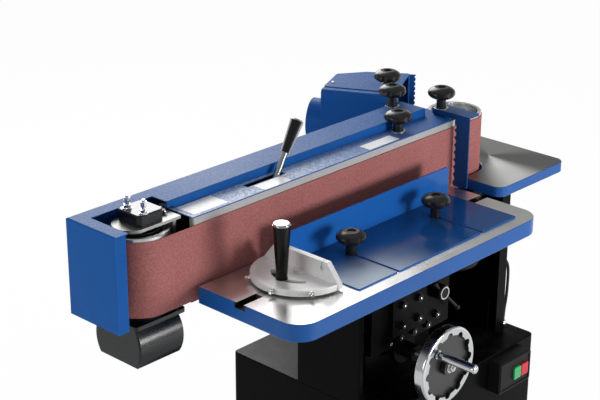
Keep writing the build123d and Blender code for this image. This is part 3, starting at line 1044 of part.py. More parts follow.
with BuildPart() as hood_body:
    with BuildSketch(Plane.XY.offset(HOOD_BOTTOM)) as hood_plan:
        with BuildLine():
            Polyline(*HOOD_CORNERS, close=True)
        make_face()
    extrude(amount=LID_BOTTOM - HOOD_BOTTOM)
    fillet(hood_body.edges().filter_by(Axis.Z).sort_by(Axis.Y)[-2:], 6)
    rod((port_foot - port_out * 4), port_end, PORT_RADIUS)
    with BuildSketch(Plane.XY.offset(HOOD_BOTTOM + SHEET)) as hood_inside:
        with BuildLine():
            Polyline(*HOOD_CORNERS, close=True)
        make_face()
        offset(amount=-SHEET, kind=Kind.INTERSECTION, mode=Mode.REPLACE)
    extrude(amount=mouth_height + 1, mode=Mode.SUBTRACT)
    with Locations(Plane(origin=mouth_middle, x_dir=mouth_side, z_dir=(0, 0, 1)).location):
        Box(mouth_side.length - 20, 12, mouth_height + 0.01, mode=Mode.SUBTRACT)
    rod((port_foot - port_out * 12), (port_end + port_out), PORT_RADIUS - PORT_WALL, Mode.SUBTRACT)
    rail_shape = [front_left, front_left + rail_in, front_right + rail_in, mouth_front, front_right]
    with BuildSketch(Plane.XY.offset(LID_BOTTOM - HOOD_RAIL)) as rail_plan:
        with BuildLine():
            Polyline(*rail_shape, close=True)
        make_face()
    extrude(rail_plan.sketch, amount=HOOD_RAIL)
    fillet(hood_body.edges().sort_by_distance(rail_edge)[0], HOOD_ROUND)
    strip_start = back_right - strip_side * HOOD_STRIP
    strip_end = back_right + strip_side * HOOD_STRIP
    with BuildSketch(Plane.XY.offset(HOOD_BOTTOM)) as strip_plan:
        with BuildLine():
            Polyline(strip_start, strip_end, strip_end + strip_in, strip_start + strip_in, close=True)
        make_face()
    extrude(strip_plan.sketch, amount=LID_BOTTOM - HOOD_BOTTOM)
    for number in range(STRIP_NOTCHES):
        notch_height = HOOD_BOTTOM + (number + 0.5) * (LID_BOTTOM - HOOD_BOTTOM) / STRIP_NOTCHES
        notch = strip_end + Vector(0, 0, notch_height)
        rod((notch - strip_in * 2), (notch + strip_in * 3), STRIP_NOTCH, Mode.SUBTRACT)
    flange_z = (HOOD_BOTTOM + 5, GUARD_TOP - 6)
    slab((-34, 22), (GUARD_Y[1], GUARD_Y[1] + SHEET), flange_z)
    slab((16, 22), (GUARD_Y[1], GUARD_Y[1] + 9), flange_z)
save(hood_body, "hood_body")

lid_in = narrow_side * (HOOD_LEDGE + 1.2)
lid_shape = [front_left + lid_in, back_left, back_middle, back_right, front_right + lid_in]
with BuildPart() as hood_lid:
    with BuildSketch(Plane.XY.offset(LID_BOTTOM)) as lid_plan:
        with BuildLine():
            Polyline(*lid_shape, close=True)
        make_face()
        fillet(lid_plan.vertices(), 5)
    extrude(amount=SHEET)
    upright(*LID_KNOB, (LID_TOP - 5, LID_TOP + 1), STUD_HOLE, Mode.SUBTRACT)
save(hood_lid, "hood_lid")

# Switch box with its two buttons
SWITCH_BACK_Y = -BASE_DEPTH / 2
SWITCH_FRONT_Y = SWITCH_BACK_Y - SWITCH_DEPTH
BUTTON_SIZE = (26.0, 30.0)
BUTTON_Z = SWITCH_Z[0] + 37
START_X = SWITCH_X[1] - 55
STOP_BUTTON_X = SWITCH_X[1] - 27
BUTTON_DEPTH = 8.0
BUTTON_PROUD = 5.0

with BuildPart() as switch_box:
    slab(SWITCH_X, (SWITCH_FRONT_Y, SWITCH_BACK_Y), SWITCH_Z)
    fillet(switch_box.edges().filter_by(Axis.Y), 6)
    fillet(switch_box.faces().sort_by(Axis.Y)[0].edges(), 2)
    for button_x in (START_X, STOP_BUTTON_X):
        well_x = about(button_x, BUTTON_SIZE[0] / 2 + 0.5)
        well_z = about(BUTTON_Z, BUTTON_SIZE[1] / 2 + 0.5)
        slab(well_x, (SWITCH_FRONT_Y - 1, SWITCH_FRONT_Y + BUTTON_DEPTH + 5), well_z, Mode.SUBTRACT)
save(switch_box, "switch_box")


def push_button(name, x):
    """Rectangular button standing a little out of the switch box."""
    with BuildPart() as button:
        depth = (SWITCH_FRONT_Y - BUTTON_PROUD, SWITCH_FRONT_Y + BUTTON_DEPTH)
        slab(about(x, BUTTON_SIZE[0] / 2), depth, about(BUTTON_Z, BUTTON_SIZE[1] / 2))
        fillet(button.edges().filter_by(Axis.Y), 3)
        fillet(button.faces().sort_by(Axis.Y)[0].edges(), 1.5)
    save(button, name)


push_button("start_button", START_X)
push_button("stop_button", STOP_BUTTON_X)

# Cable glands and the motor lead between column wall and base
GLANDS = [(MAINS_GLAND, (1, 0, 0)), ((COLUMN_X[1], LEAD_Y, LEAD_WALL_Z), (1, 0, 0)),
          ((LEAD_BASE_X, LEAD_Y, BASE_HEIGHT), (0, 0, 1))]
GLAND_LENGTH = 12.0

with BuildPart() as cable_glands:
    for seat, direction in GLANDS:
        out = Vector(*direction)
        foot = Vector(*seat)
        with BuildSketch(Plane(origin=foot, z_dir=out)) as gland_nut:
            RegularPolygon(8.5, 6, major_radius=False)
        extrude(gland_nut.sketch, amount=5)
        cone((foot + out * 5), (foot + out * GLAND_LENGTH), 8, 6)
        rod((foot - out * 5), foot, GLAND_HOLE - FIT)
        rod((foot - out * 6), (foot + out * (GLAND_LENGTH + 1)),
            LEAD_RADIUS + RUNNING_FIT, Mode.SUBTRACT)
save(cable_glands, "cable_glands")

LEAD_DROP_X = LEAD_BASE_X + 10
LEAD_PATH = [(COLUMN_X[1] - 2, LEAD_Y, LEAD_WALL_Z), (LEAD_DROP_X, LEAD_Y, LEAD_WALL_Z),
             (LEAD_DROP_X, LEAD_Y, BASE_HEIGHT + 75), (LEAD_BASE_X, LEAD_Y, BASE_HEIGHT + 35),
             (LEAD_BASE_X, LEAD_Y, BASE_HEIGHT - 2)]
LEAD_BENDS = [14.0, 60.0, 60.0]

with BuildPart() as motor_lead:
    with BuildLine() as lead_line:
        FilletPolyline(*LEAD_PATH, radius=LEAD_BENDS)
    with BuildSketch(Plane(origin=LEAD_PATH[0], z_dir=(1, 0, 0))):
        Circle(LEAD_RADIUS)
    sweep(path=lead_line.line)
save(motor_lead, "motor_lead")
lead_length = lead_line.wires()[0].length
volume_ratio = motor_lead.part.volume / (pi * LEAD_RADIUS ** 2 * lead_length)
print(f"motor lead {lead_length:.1f} mm, bends {LEAD_BENDS} mm, volume ratio {volume_ratio:.4f}")
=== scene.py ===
import math

import bmesh
import bpy
from mathutils import Matrix, Vector


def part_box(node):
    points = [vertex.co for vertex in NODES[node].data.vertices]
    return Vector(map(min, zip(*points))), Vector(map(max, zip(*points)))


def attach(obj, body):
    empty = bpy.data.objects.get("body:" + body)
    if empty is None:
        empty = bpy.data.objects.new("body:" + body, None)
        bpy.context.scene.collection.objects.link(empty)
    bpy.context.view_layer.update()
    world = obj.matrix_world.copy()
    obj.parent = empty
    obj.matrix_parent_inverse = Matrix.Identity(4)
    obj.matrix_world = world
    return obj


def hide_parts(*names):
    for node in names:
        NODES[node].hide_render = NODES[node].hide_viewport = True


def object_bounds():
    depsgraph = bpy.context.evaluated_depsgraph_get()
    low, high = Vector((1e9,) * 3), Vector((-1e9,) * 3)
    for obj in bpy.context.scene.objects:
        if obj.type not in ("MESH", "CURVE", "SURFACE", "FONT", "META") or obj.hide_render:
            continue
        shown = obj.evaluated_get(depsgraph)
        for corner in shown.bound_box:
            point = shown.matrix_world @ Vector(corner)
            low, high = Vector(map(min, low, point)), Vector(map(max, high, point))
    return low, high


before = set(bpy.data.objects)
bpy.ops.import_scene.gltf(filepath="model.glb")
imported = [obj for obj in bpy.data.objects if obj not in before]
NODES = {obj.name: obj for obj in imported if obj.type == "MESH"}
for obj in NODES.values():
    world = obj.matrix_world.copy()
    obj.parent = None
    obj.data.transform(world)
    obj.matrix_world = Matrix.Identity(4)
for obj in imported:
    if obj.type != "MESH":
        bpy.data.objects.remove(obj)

bl_info = {
    "name": "Belt sander finishes",
    "version": (1, 0, 0),
    "blender": (4, 5, 0),
    "location": "3D View > Sidebar > Sander",
    "description": "Finishes, small fittings and studio for an oscillating belt sander",
    "category": "Object",
}

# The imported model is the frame: boxes and heights that finishes and fittings are placed by
CAD_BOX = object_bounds()
MM = 0.001
WHEEL_LOW, WHEEL_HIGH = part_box("handwheel")
COVER_LOW, COVER_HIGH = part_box("platen_cover")
FENCE_LOW, FENCE_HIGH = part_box("fence")
SWITCH_LOW, SWITCH_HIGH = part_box("switch_box")
YOKE_LOW, YOKE_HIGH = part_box("tension_yoke")
BAR_LOW, BAR_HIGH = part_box("mitre_bar")
DRUM_LOW, DRUM_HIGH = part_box("idler_drum")
TABLE_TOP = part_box("table")[1].z
END_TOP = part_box("end_table")[1].z
HANDLE_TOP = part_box("mitre_handle")[1].z
LID_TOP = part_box("hood_lid")[1].z
GEAR_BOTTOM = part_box("gearbox_cover")[0].z
GAUGE_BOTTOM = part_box("protractor")[0].z

# Places and sizes that the frame's boxes don't give, in metres
COVER_TOP = 1.035
WHEEL_FRONT = -0.289
HUB_FRONT = -0.293
RIM_INSIDE = 55.0 * MM
KNOB_SEATS = {"platen_knob": 1.035, "guard_knob": 1.053, "stop_knob": 1.049, "lid_knob": 1.070}
KNOB_FOOT = 12.0 * MM
GAUGE_PIVOT = (-0.566, -0.254)
GAUGE_REACH = 95.0 * MM
SLOT_HALF = 13.8 * MM
SLOT_DEPTH = 12.0 * MM
FLANGE_BORE = 28.0 * MM
CLAMP_FACE = (-0.036, -0.195, 0.667)

# Places of the lead and of small fittings, in millimetres
LEAD_ROUTE = [(244, -146, 640), (274, -146, 640), (274, -146, 540), (264, -146, 500), (264, -146, 463)]
BOLT_HEADS = [(x, -185.4, z) for x in (-161, -106) for z in (626, 675)]
BOLT_HEADS += [(x, -173.4, 590) for x in (-190, -155, -107, -60)] + [(-28, -173.4, 604)]
GEAR_SCREWS = [(-850, -104), (-790, -104)]
LINK_FOOT_X = (-769, -748)
LINK_HEAD_X = (-769, -758)
LINK_Y = (-88, -62)
LINK_SCREW = (-753, -75)
LINK_PIN = (-754, -92)
HOOD_SCREW = (-15, 161)
PLATES = {
    "cover_plate_left": ((-716, -628), (-126, -78)),
    "cover_plate_middle": ((-536, -462), (-133, -102)),
    "cover_plate_right": ((-225, -130), (-130, -101)),
}

# Point that the painted highlight fan of the end table spreads from, as a lamp would show its grinding marks,
# and angles in degrees
HIGHLIGHT_FAN_APEX = (0.242, -0.093)
BRIGHT_FAN = -118
DULL_FAN = 12
STOP_ANGLES = (146, 192, 236)

# Colours and values of the finishes that are no setting
# Pale blue of the painted sheen: a painted reflection mixed into blue paint at a flat view
PAINTED_SHEEN = (0.66, 0.76, 0.88, 1.0)
WHITE = (1.0, 1.0, 1.0, 1.0)
DUST = (0.42, 0.40, 0.37, 1.0)
WORN_BLUE = (0.22, 0.27, 0.38, 1.0)
WORN_RIM = (0.30, 0.36, 0.45, 1.0)
# Dark of the table slot, a painted shade
PAINTED_SLOT_SHADE = (0.012, 0.011, 0.010, 1.0)
GLOSS_BLACK = (0.002, 0.002, 0.002)
# Pale grey of the painted highlight on the grip's sides
PAINTED_GRIP_HIGHLIGHT = (0.62, 0.63, 0.64, 1.0)
BELT_SHADE = (0.92, 0.90, 0.90, 1.0)
SHEET_GRAIN = 190.0
PEEL_DEPTH = 0.6 * MM


def colour_setting(name, description, default):
    """A colour that the user may change."""
    return bpy.props.FloatVectorProperty(
        name=name, description=description, default=default, size=3, min=0.0, max=1.0, subtype="COLOR")


def length_setting(name, description, default):
    """A length in metres that the user may change."""
    return bpy.props.FloatProperty(
        name=name, description=description, default=default, min=0.0, unit="LENGTH", precision=4)


def power_setting(name, description, default):
    """A lamp's power in watts that the user may change."""
    return bpy.props.FloatProperty(name=name, description=description, default=default, unit="POWER")


def angle_setting(name, description, degrees):
    """An angle of the camera that the user may change."""
    return bpy.props.FloatProperty(
        name=name, description=description, default=math.radians(degrees), subtype="ANGLE")


class SanderFinishes(bpy.types.PropertyGroup):
    """Colours of the paints, metals and plastics."""

    blue: colour_setting("Blue paint", "Paint of guard, hood and table rims", (0.011, 0.098, 0.360))
    black: colour_setting("Black enamel", "Paint of base, column and carriage", (0.003, 0.003, 0.003))
    cast_black: colour_setting("Cast black", "Bearing block and gearbox", (0.003, 0.004, 0.006))
    plastic: colour_setting("Black plastic", "Knobs and switch box", (0.010, 0.010, 0.010))
    machined: colour_setting("Machined iron", "Ground top of the tables", (0.72, 0.72, 0.71))
    zinc: colour_setting("Zinc", "Plating of the platen", (0.46, 0.45, 0.45))
    graphite: colour_setting("Graphite", "Pad behind the belt", (0.03, 0.03, 0.032))
    yoke: colour_setting("Yoke steel", "Ground steel of the tension yoke", (0.3720, 0.3782, 0.3658))
    steel: colour_setting("Turned steel", "Shafts, rack, slot nuts and gauge bar", (0.50, 0.50, 0.50))
    chrome: colour_setting("Chrome", "Handwheel rim, screws and crank", (0.78, 0.79, 0.80))
    aluminium: colour_setting("Cast aluminium", "Protractor and drums", (0.84, 0.84, 0.84))
    dark_steel: colour_setting("Dark steel", "Blackened bolts and clamp bar", (0.006, 0.006, 0.006))
    grit: colour_setting("Abrasive", "Grain of the sanding belt", (0.400, 0.146, 0.138))
    plate: colour_setting("Bare plates", "Blank plates on the cover", (0.93, 0.93, 0.94))
    green: colour_setting("Start button", "Plastic of the start button", (0.055, 0.43, 0.16))
    red: colour_setting("Stop button", "Plastic of the stop button", (0.62, 0.035, 0.055))
    rubber: colour_setting("Lead rubber", "Sheath of the motor lead", (0.016, 0.016, 0.016))


class SanderFittings(bpy.types.PropertyGroup):
    """Sizes of the small fittings that the frame leaves to the scene."""

    plate: length_setting("Plate thickness", "Thickness of the blank plates on the cover", 0.8 * MM)
    plate_corner: length_setting("Plate corner", "Corner radius of the blank plates", 2.5 * MM)
    washer: length_setting("Washer thickness", "Washers under the knobs", 1.8 * MM)
    washer_edge: length_setting("Washer width", "How far a washer stands out round a knob's foot", 4.0 * MM)
    screw: length_setting("Screw head", "Radius of the small screw heads", 4.2 * MM)
    flange: length_setting("Flange radius", "Black flange under the yoke", 44.0 * MM)
    bezel: length_setting("Bezel width", "Raised frame round the switch panel", 5.0 * MM)
    lead: length_setting("Lead diameter", "Diameter of the motor lead", 7.0 * MM)


class SanderStage(bpy.types.PropertyGroup):
    """Camera and studio light."""

    camera: bpy.props.FloatVectorProperty(
        name="Camera", description="Place of the camera", default=(-2.480, -2.044, 2.104), size=3,
        subtype="TRANSLATION", unit="LENGTH")
    lens: bpy.props.FloatProperty(
        name="Lens", description="Focal length in millimetres", default=91.6, unit="CAMERA")
    heading: angle_setting("Heading", "Turn of the view from +Y towards +X", 46.90)
    down: angle_setting("Down", "How far the view looks down", 21.78)
    roll: angle_setting("Roll", "Roll of the camera", 0.27)
    key: power_setting("Key", "Front light", 66.0)
    side: power_setting("Side", "Fill from the left", 30.0)
    top: power_setting("Top", "Overhead light", 3.0)
    sheen: power_setting("Back panel", "Panel mirrored in the flat tops", 97.0)
    room: bpy.props.FloatProperty(name="Room", description="Even light from all round", default=0.30, min=0.0)
    dusk: bpy.props.FloatProperty(
        name="Dusk", description="Grey of the room above the backdrop as metal shows it", default=0.28,
        min=0.0, max=1.0, subtype="FACTOR")


def settings(group):
    """One of the three setting groups of the scene."""
    return getattr(bpy.context.scene, "sander_" + group)


# Node helpers

class Wiring:
    """Adds and joins shader nodes in one tree."""

    def __init__(self, tree):
        self.tree = tree

    def add(self, kind, values=None, **options):
        """New node; a value that is a socket is linked, any other is set."""
        node = self.tree.nodes.new(kind)
        for key, value in options.items():
            setattr(node, key, value)
        for key, value in (values or {}).items():
            self.feed(node.inputs[key], value)
        return node

    def feed(self, socket, value):
        """Links or sets one input."""
        if isinstance(value, bpy.types.NodeSocket):
            self.tree.links.new(value, socket)
        else:
            socket.default_value = value

    def math(self, operation, first, second=0.0):
        """Result of one sum."""
        return self.add("ShaderNodeMath", {0: first, 1: second}, operation=operation).outputs[0]

    def times(self, first, second):
        """Product of two numbers."""
        return self.math("MULTIPLY", first, second)

    def noise(self, place, scale, detail):
        """Soft noise over a place."""
        return self.add("ShaderNodeTexNoise", {"Vector": place, "Scale": scale, "Detail": detail}).outputs[0]

    def shades(self, factor, colour, dark, light):
        """Shade of a colour between a darker and a lighter one."""
        return self.mix_colour(factor, rgb(colour, dark), rgb(colour, light))

    def mix_colour(self, factor, first, second):
        """Colour between two colours."""
        node = self.add("ShaderNodeMix", data_type="RGBA")
        for index, value in ((0, factor), (6, first), (7, second)):
            self.feed(node.inputs[index], value)
        return node.outputs[2]

    def mix_value(self, factor, first, second):
        """Number between two numbers."""
        node = self.add("ShaderNodeMix", data_type="FLOAT")
        for index, value in ((0, factor), (2, first), (3, second)):
            self.feed(node.inputs[index], value)
        return node.outputs[0]

    def ramp(self, value, low, high):
        """Value stretched so that low gives 0 and high gives 1."""
        node = self.add("ShaderNodeMapRange", {"Value": value, "From Min": low, "From Max": high},
                        interpolation_type="SMOOTHSTEP")
        return node.outputs["Result"]

    def place(self):
        """Place on the piece in the shared frame, which moves with the piece."""
        return self.add("ShaderNodeTexCoord").outputs["Object"]

    def axes(self, vector):
        """The three parts of a place."""
        return self.add("ShaderNodeSeparateXYZ", {0: vector}).outputs

    def group(self, name, place, **values):
        """A shared effect at a place, with its own values."""
        node = self.add("ShaderNodeGroup")
        node.node_tree = bpy.data.node_groups[name]
        for key, value in {"place": place, **values}.items():
            self.feed(node.inputs[key.title()], value)
        return node.outputs


def find_node(tree, kind):
    """The node of one kind that a new tree comes with."""
    return next(node for node in tree.nodes if node.type == kind)


FLOAT = "NodeSocketFloat"
VECTOR = "NodeSocketVector"


def new_group(name, value, default, *results):
    """Empty effect over a place with one more value; returns its wiring, inputs and output node."""
    tree = bpy.data.node_groups.new(name, "ShaderNodeTree")
    new_socket = tree.interface.new_socket
    new_socket(name="Place", in_out="INPUT", socket_type=VECTOR)
    kind = VECTOR if isinstance(default, tuple) else FLOAT
    new_socket(name=value, in_out="INPUT", socket_type=kind).default_value = default
    for result in results:
        new_socket(name=result, in_out="OUTPUT", socket_type=FLOAT)
    wiring = Wiring(tree)
    return wiring, wiring.add("NodeGroupInput").outputs, wiring.add("NodeGroupOutput").inputs


def make_paint_skin():
    """Orange peel of sprayed paint: fine waves over slow ones."""
    wiring, given, result = new_group("Paint skin", "Grain", 420.0, "Height", "Cloud")
    fine = wiring.noise(given["Place"], given["Grain"], 2.0)
    slow = wiring.noise(given["Place"], wiring.times(given["Grain"], 0.012), 3.0)
    wiring.feed(result["Height"], fine)
    wiring.feed(result["Cloud"], wiring.ramp(slow, 0.3, 0.7))


def make_edge_mask():
    """Mask along sharp edges, broken up by noise."""
    wiring, given, result = new_group("Sharp edges", "Width", 1.5 * MM, "Mask")
    rounded = wiring.add("ShaderNodeBevel", {"Radius": given["Width"]}, samples=4)
    flat = wiring.add("ShaderNodeNewGeometry").outputs["Normal"]
    same_way = wiring.add("ShaderNodeVectorMath", {0: rounded.outputs[0], 1: flat}, operation="DOT_PRODUCT")
    edge = wiring.ramp(same_way.outputs["Value"], 0.97, 0.80)
    breaks = wiring.noise(given["Place"], 90.0, 4.0)
    wiring.feed(result["Mask"], wiring.times(edge, wiring.ramp(breaks, 0.35, 0.65)))


def make_tool_marks():
    """Fine parallel lines left by grinding or brushing, with a slow cloud over them."""
    wiring, given, result = new_group("Tool marks", "Stretch", (4.0, 900.0, 900.0), "Lines", "Cloud")
    drawn = wiring.add("ShaderNodeVectorMath", {0: given["Place"], 1: given["Stretch"]}, operation="MULTIPLY")
    lines = wiring.noise(drawn.outputs[0], 1.0, 3.0)
    cloud = wiring.noise(given["Place"], 9.0, 4.0)
    wiring.feed(result["Lines"], lines)
    wiring.feed(result["Cloud"], wiring.ramp(cloud, 0.3, 0.7))


def make_speckle():
    """Fine grains of two sizes, for abrasive, castings and moulded plastic."""
    wiring, given, result = new_group("Speckle", "Grain", 900.0, "Height", "Spots")
    fine = wiring.noise(given["Place"], given["Grain"], 2.0)
    coarse_scale = wiring.times(given["Grain"], 0.28)
    coarse = wiring.add("ShaderNodeTexVoronoi", {"Vector": given["Place"], "Scale": coarse_scale})
    wiring.feed(result["Height"], wiring.mix_value(0.3, fine, coarse.outputs["Distance"]))
    wiring.feed(result["Spots"], wiring.ramp(fine, 0.30, 0.70))


def make_dust():
    """Mask of fine dust that settles on faces that look up."""
    wiring, given, result = new_group("Settled dust", "Amount", 0.3, "Mask")
    normal = wiring.axes(wiring.add("ShaderNodeNewGeometry").outputs["Normal"])
    up = wiring.ramp(normal["Z"], 0.55, 0.95)
    drift = wiring.noise(given["Place"], 35.0, 5.0)
    patch = wiring.times(up, wiring.ramp(drift, 0.35, 0.75))
    wiring.feed(result["Mask"], wiring.times(patch, given["Amount"]))


# Finishes

def new_finish(name, **constants):
    """Material with one shader; constants are set on the shader's own sockets."""
    material = bpy.data.materials.new(name)
    material.use_nodes = True
    wiring = Wiring(material.node_tree)
    shader = find_node(material.node_tree, "BSDF_PRINCIPLED")
    for key, value in constants.items():
        shader.inputs[key.replace("_", " ").title().replace("Ior", "IOR")].default_value = value
    return material, wiring, shader.inputs


def rgb(colour, gain=1.0):
    """Colour with its alpha, lighter or darker by a gain."""
    return (*[min(1.0, part * gain) for part in colour], 1.0)


def bump(wiring, shader, height, strength, distance):
    """Relief from a height."""
    node = wiring.add("ShaderNodeBump", {"Height": height, "Strength": strength, "Distance": distance})
    wiring.feed(shader["Normal"], node.outputs[0])


def flat_view(wiring, low=0.40, high=0.62):
    """Mask of faces that are seen at a flat angle."""
    facing_view = wiring.add("ShaderNodeLayerWeight", {"Blend": 0.5}).outputs["Facing"]
    return wiring.ramp(facing_view, low, high)


def mottled_painted_sheen(wiring, skin, amount):
    """Mask of a painted sheen: a pale, mottled shine painted into the colour, standing in for the reflection
    that textured paint shows at a flat view.
    """
    mottle = wiring.mix_value(wiring.ramp(skin["Height"], 0.38, 0.62), 0.45, 1.0)
    spread = wiring.times(wiring.mix_value(skin["Cloud"], 0.7, 1.0), mottle)
    painted_shine = wiring.times(flat_view(wiring), spread)
    return wiring.times(painted_shine, amount)


def paint_layers(wiring, grain):
    """Place, skin and edge mask that a paint is made from."""
    place = wiring.place()
    skin = wiring.group("Paint skin", place, grain=grain)
    edge_mask = wiring.group("Sharp edges", place, width=1.2 * MM)["Mask"]
    return place, skin, edge_mask


def paint(name, colour, roughness=0.28, grain=420.0, relief=0.10, specular=0.12, dust=0.05, wear_and_highlight=0.25,
          painted_sheen_amount=0.0):
    """Sprayed paint with orange peel, paler edges that are wear and a painted highlight, a little dust and,
    if textured, a painted sheen that stands in for a reflection at a flat view.
    """
    material, wiring, shader = new_finish(name, specular_ior_level=specular)
    place, skin, edge_mask = paint_layers(wiring, grain)
    settled = wiring.group("Settled dust", place, amount=dust)["Mask"]
    base = wiring.shades(skin["Cloud"], colour, 0.93, 1.06)
    if painted_sheen_amount:
        base = wiring.mix_colour(mottled_painted_sheen(wiring, skin, painted_sheen_amount), base, PAINTED_SHEEN)
    # Paler edges: partly wear, partly a painted highlight along the edges.
    pale = [0.55 * part + 0.20 for part in colour]
    edged = wiring.mix_colour(wiring.times(edge_mask, wear_and_highlight), base, rgb(pale))
    wiring.feed(shader["Base Color"], wiring.mix_colour(settled, edged, DUST))
    wiring.feed(shader["Roughness"], wiring.mix_value(skin["Cloud"], roughness - 0.03, roughness + 0.05))
    bump(wiring, shader, skin["Height"], relief, PEEL_DEPTH)
    return material


def end_blue(wiring, shader, skin, edge_mask, base, gloss, relief):
    """Ends a blue paint: rubbed paler edges, roughness between two values and the relief of its skin."""
    edged = wiring.mix_colour(wiring.times(edge_mask, 0.25), base, WORN_BLUE)
    wiring.feed(shader["Base Color"], edged)
    wiring.feed(shader["Roughness"], wiring.mix_value(skin["Cloud"], *gloss))
    bump(wiring, shader, skin["Height"], relief, PEEL_DEPTH)


def cover_finish(name, colour):
    """Textured paint of the long cover with a painted reflection: pale at a flat view, most towards the idler
    end.
    """
    material, wiring, shader = new_finish(name, specular_ior_level=0.30)
    place, skin, edge_mask = paint_layers(wiring, SHEET_GRAIN)
    # The painted sheen grows towards the idler end: painted light standing in for a reflection that is
    # stronger there.
    towards_idler = wiring.ramp(wiring.axes(place)["X"], COVER_HIGH.x - 0.02, COVER_LOW.x + 0.05)
    base = wiring.shades(skin["Cloud"], colour, 0.93, 1.06)
    with_painted_sheen = wiring.mix_colour(mottled_painted_sheen(wiring, skin, towards_idler), base, PAINTED_SHEEN)
    end_blue(wiring, shader, skin, edge_mask, with_painted_sheen, (0.40, 0.47), 0.45)
    return material


def fence_finish(name, colour):
    """Gloss paint of the fence with painted light: at a flat view its foot is a darker blue as painted shade,
    its upright faces a lighter blue as painted light, and its left front corner pale as a painted reflection.
    """
    material, wiring, shader = new_finish(name, specular_ior_level=0.25)
    place, skin, edge_mask = paint_layers(wiring, 300.0)
    axes = wiring.axes(place)
    foot_depth = FENCE_HIGH.y - FENCE_LOW.y
    foot_length = FENCE_HIGH.x - FENCE_LOW.x
    # A pale patch at the left front corner of the foot, at a flat view, is a painted reflection.
    towards_front = wiring.ramp(axes["Y"], FENCE_LOW.y + 0.7 * foot_depth, FENCE_LOW.y)
    towards_left = wiring.ramp(axes["X"], FENCE_LOW.x + 0.5 * foot_length, FENCE_LOW.x + 0.1 * foot_length)
    flat = flat_view(wiring)
    corner = wiring.times(towards_front, towards_left)
    painted_shine = wiring.times(flat, corner)
    # Upright faces get a lighter copy of the blue as painted light, the foot at a flat view a darker copy as
    # painted shade.
    lit_upright = wiring.shades(skin["Cloud"], colour, 1.15, 1.30)
    base = wiring.mix_colour(flat, lit_upright, rgb(colour, 0.65))
    with_painted_sheen = wiring.mix_colour(painted_shine, base, PAINTED_SHEEN)
    end_blue(wiring, shader, skin, edge_mask, with_painted_sheen, (0.09, 0.17), 0.03)
    return material


def metal(name, colour, roughness, stretch, relief=0.05, streak=0.10):
    """Bare or plated metal with tool marks drawn along one way."""
    material, wiring, shader = new_finish(name, metallic=1.0)
    marks = wiring.group("Tool marks", wiring.place(), stretch=stretch)
    wiring.feed(shader["Base Color"], wiring.shades(marks["Lines"], colour, 0.86, 1.10))
    smear = wiring.mix_value(marks["Cloud"], roughness - 0.5 * streak, roughness + 0.5 * streak)
    grained = wiring.math("ADD", smear, wiring.times(marks["Lines"], 0.06))
    wiring.feed(shader["Roughness"], grained)
    bump(wiring, shader, marks["Lines"], relief, 0.1 * MM)
    return material


def plastic(name, colour, roughness=0.42, grain=1400.0, relief=0.12, specular=0.3):
    """Moulded plastic or rubber with a fine grain and shiny touched edges, whose lighter colour is partly a
    painted highlight.
    """
    material, wiring, shader = new_finish(name, specular_ior_level=specular)
    place = wiring.place()
    grains = wiring.group("Speckle", place, grain=grain)
    edge_mask = wiring.group("Sharp edges", place, width=1.5 * MM)["Mask"]
    base = wiring.shades(grains["Spots"], colour, 0.88, 1.12)
    # Lighter edges: partly touched wear, partly a painted highlight.
    lifted = [part * 1.4 + 0.015 for part in colour]
    touched_and_highlit = wiring.times(edge_mask, 0.5)
    wiring.feed(shader["Base Color"], wiring.mix_colour(touched_and_highlit, base, rgb(lifted)))
    wiring.feed(shader["Roughness"], wiring.mix_value(edge_mask, roughness, 0.7 * roughness))
    bump(wiring, shader, grains["Height"], relief, 0.15 * MM)
    return material


def reach_from(wiring, first, second):
    """Distance of a place from an axis, by its two offsets."""
    squares = [wiring.times(offset, offset) for offset in (first, second)]
    return wiring.math("SQRT", wiring.math("ADD", *squares))


def painted_highlight_fan(wiring, axes, highlight_apex):
    """Mask of a painted highlight: a bright fan round a point of a top, as a lamp shows rotary grinding
    marks.
    """
    across = wiring.math("SUBTRACT", axes["X"], highlight_apex[0])
    along = wiring.math("SUBTRACT", axes["Y"], highlight_apex[1])
    angle = wiring.math("ARCTAN2", along, across)
    sides = []
    for middle, edge, core in ((BRIGHT_FAN, 0.62, 0.08), (DULL_FAN, 1.15, 0.40)):
        turned = wiring.math("ABSOLUTE", wiring.math("SUBTRACT", angle, math.radians(middle)))
        sides.append(wiring.ramp(turned, edge, core))
    bright, dull = sides
    return wiring.math("MAXIMUM", bright, wiring.times(dull, 0.30))


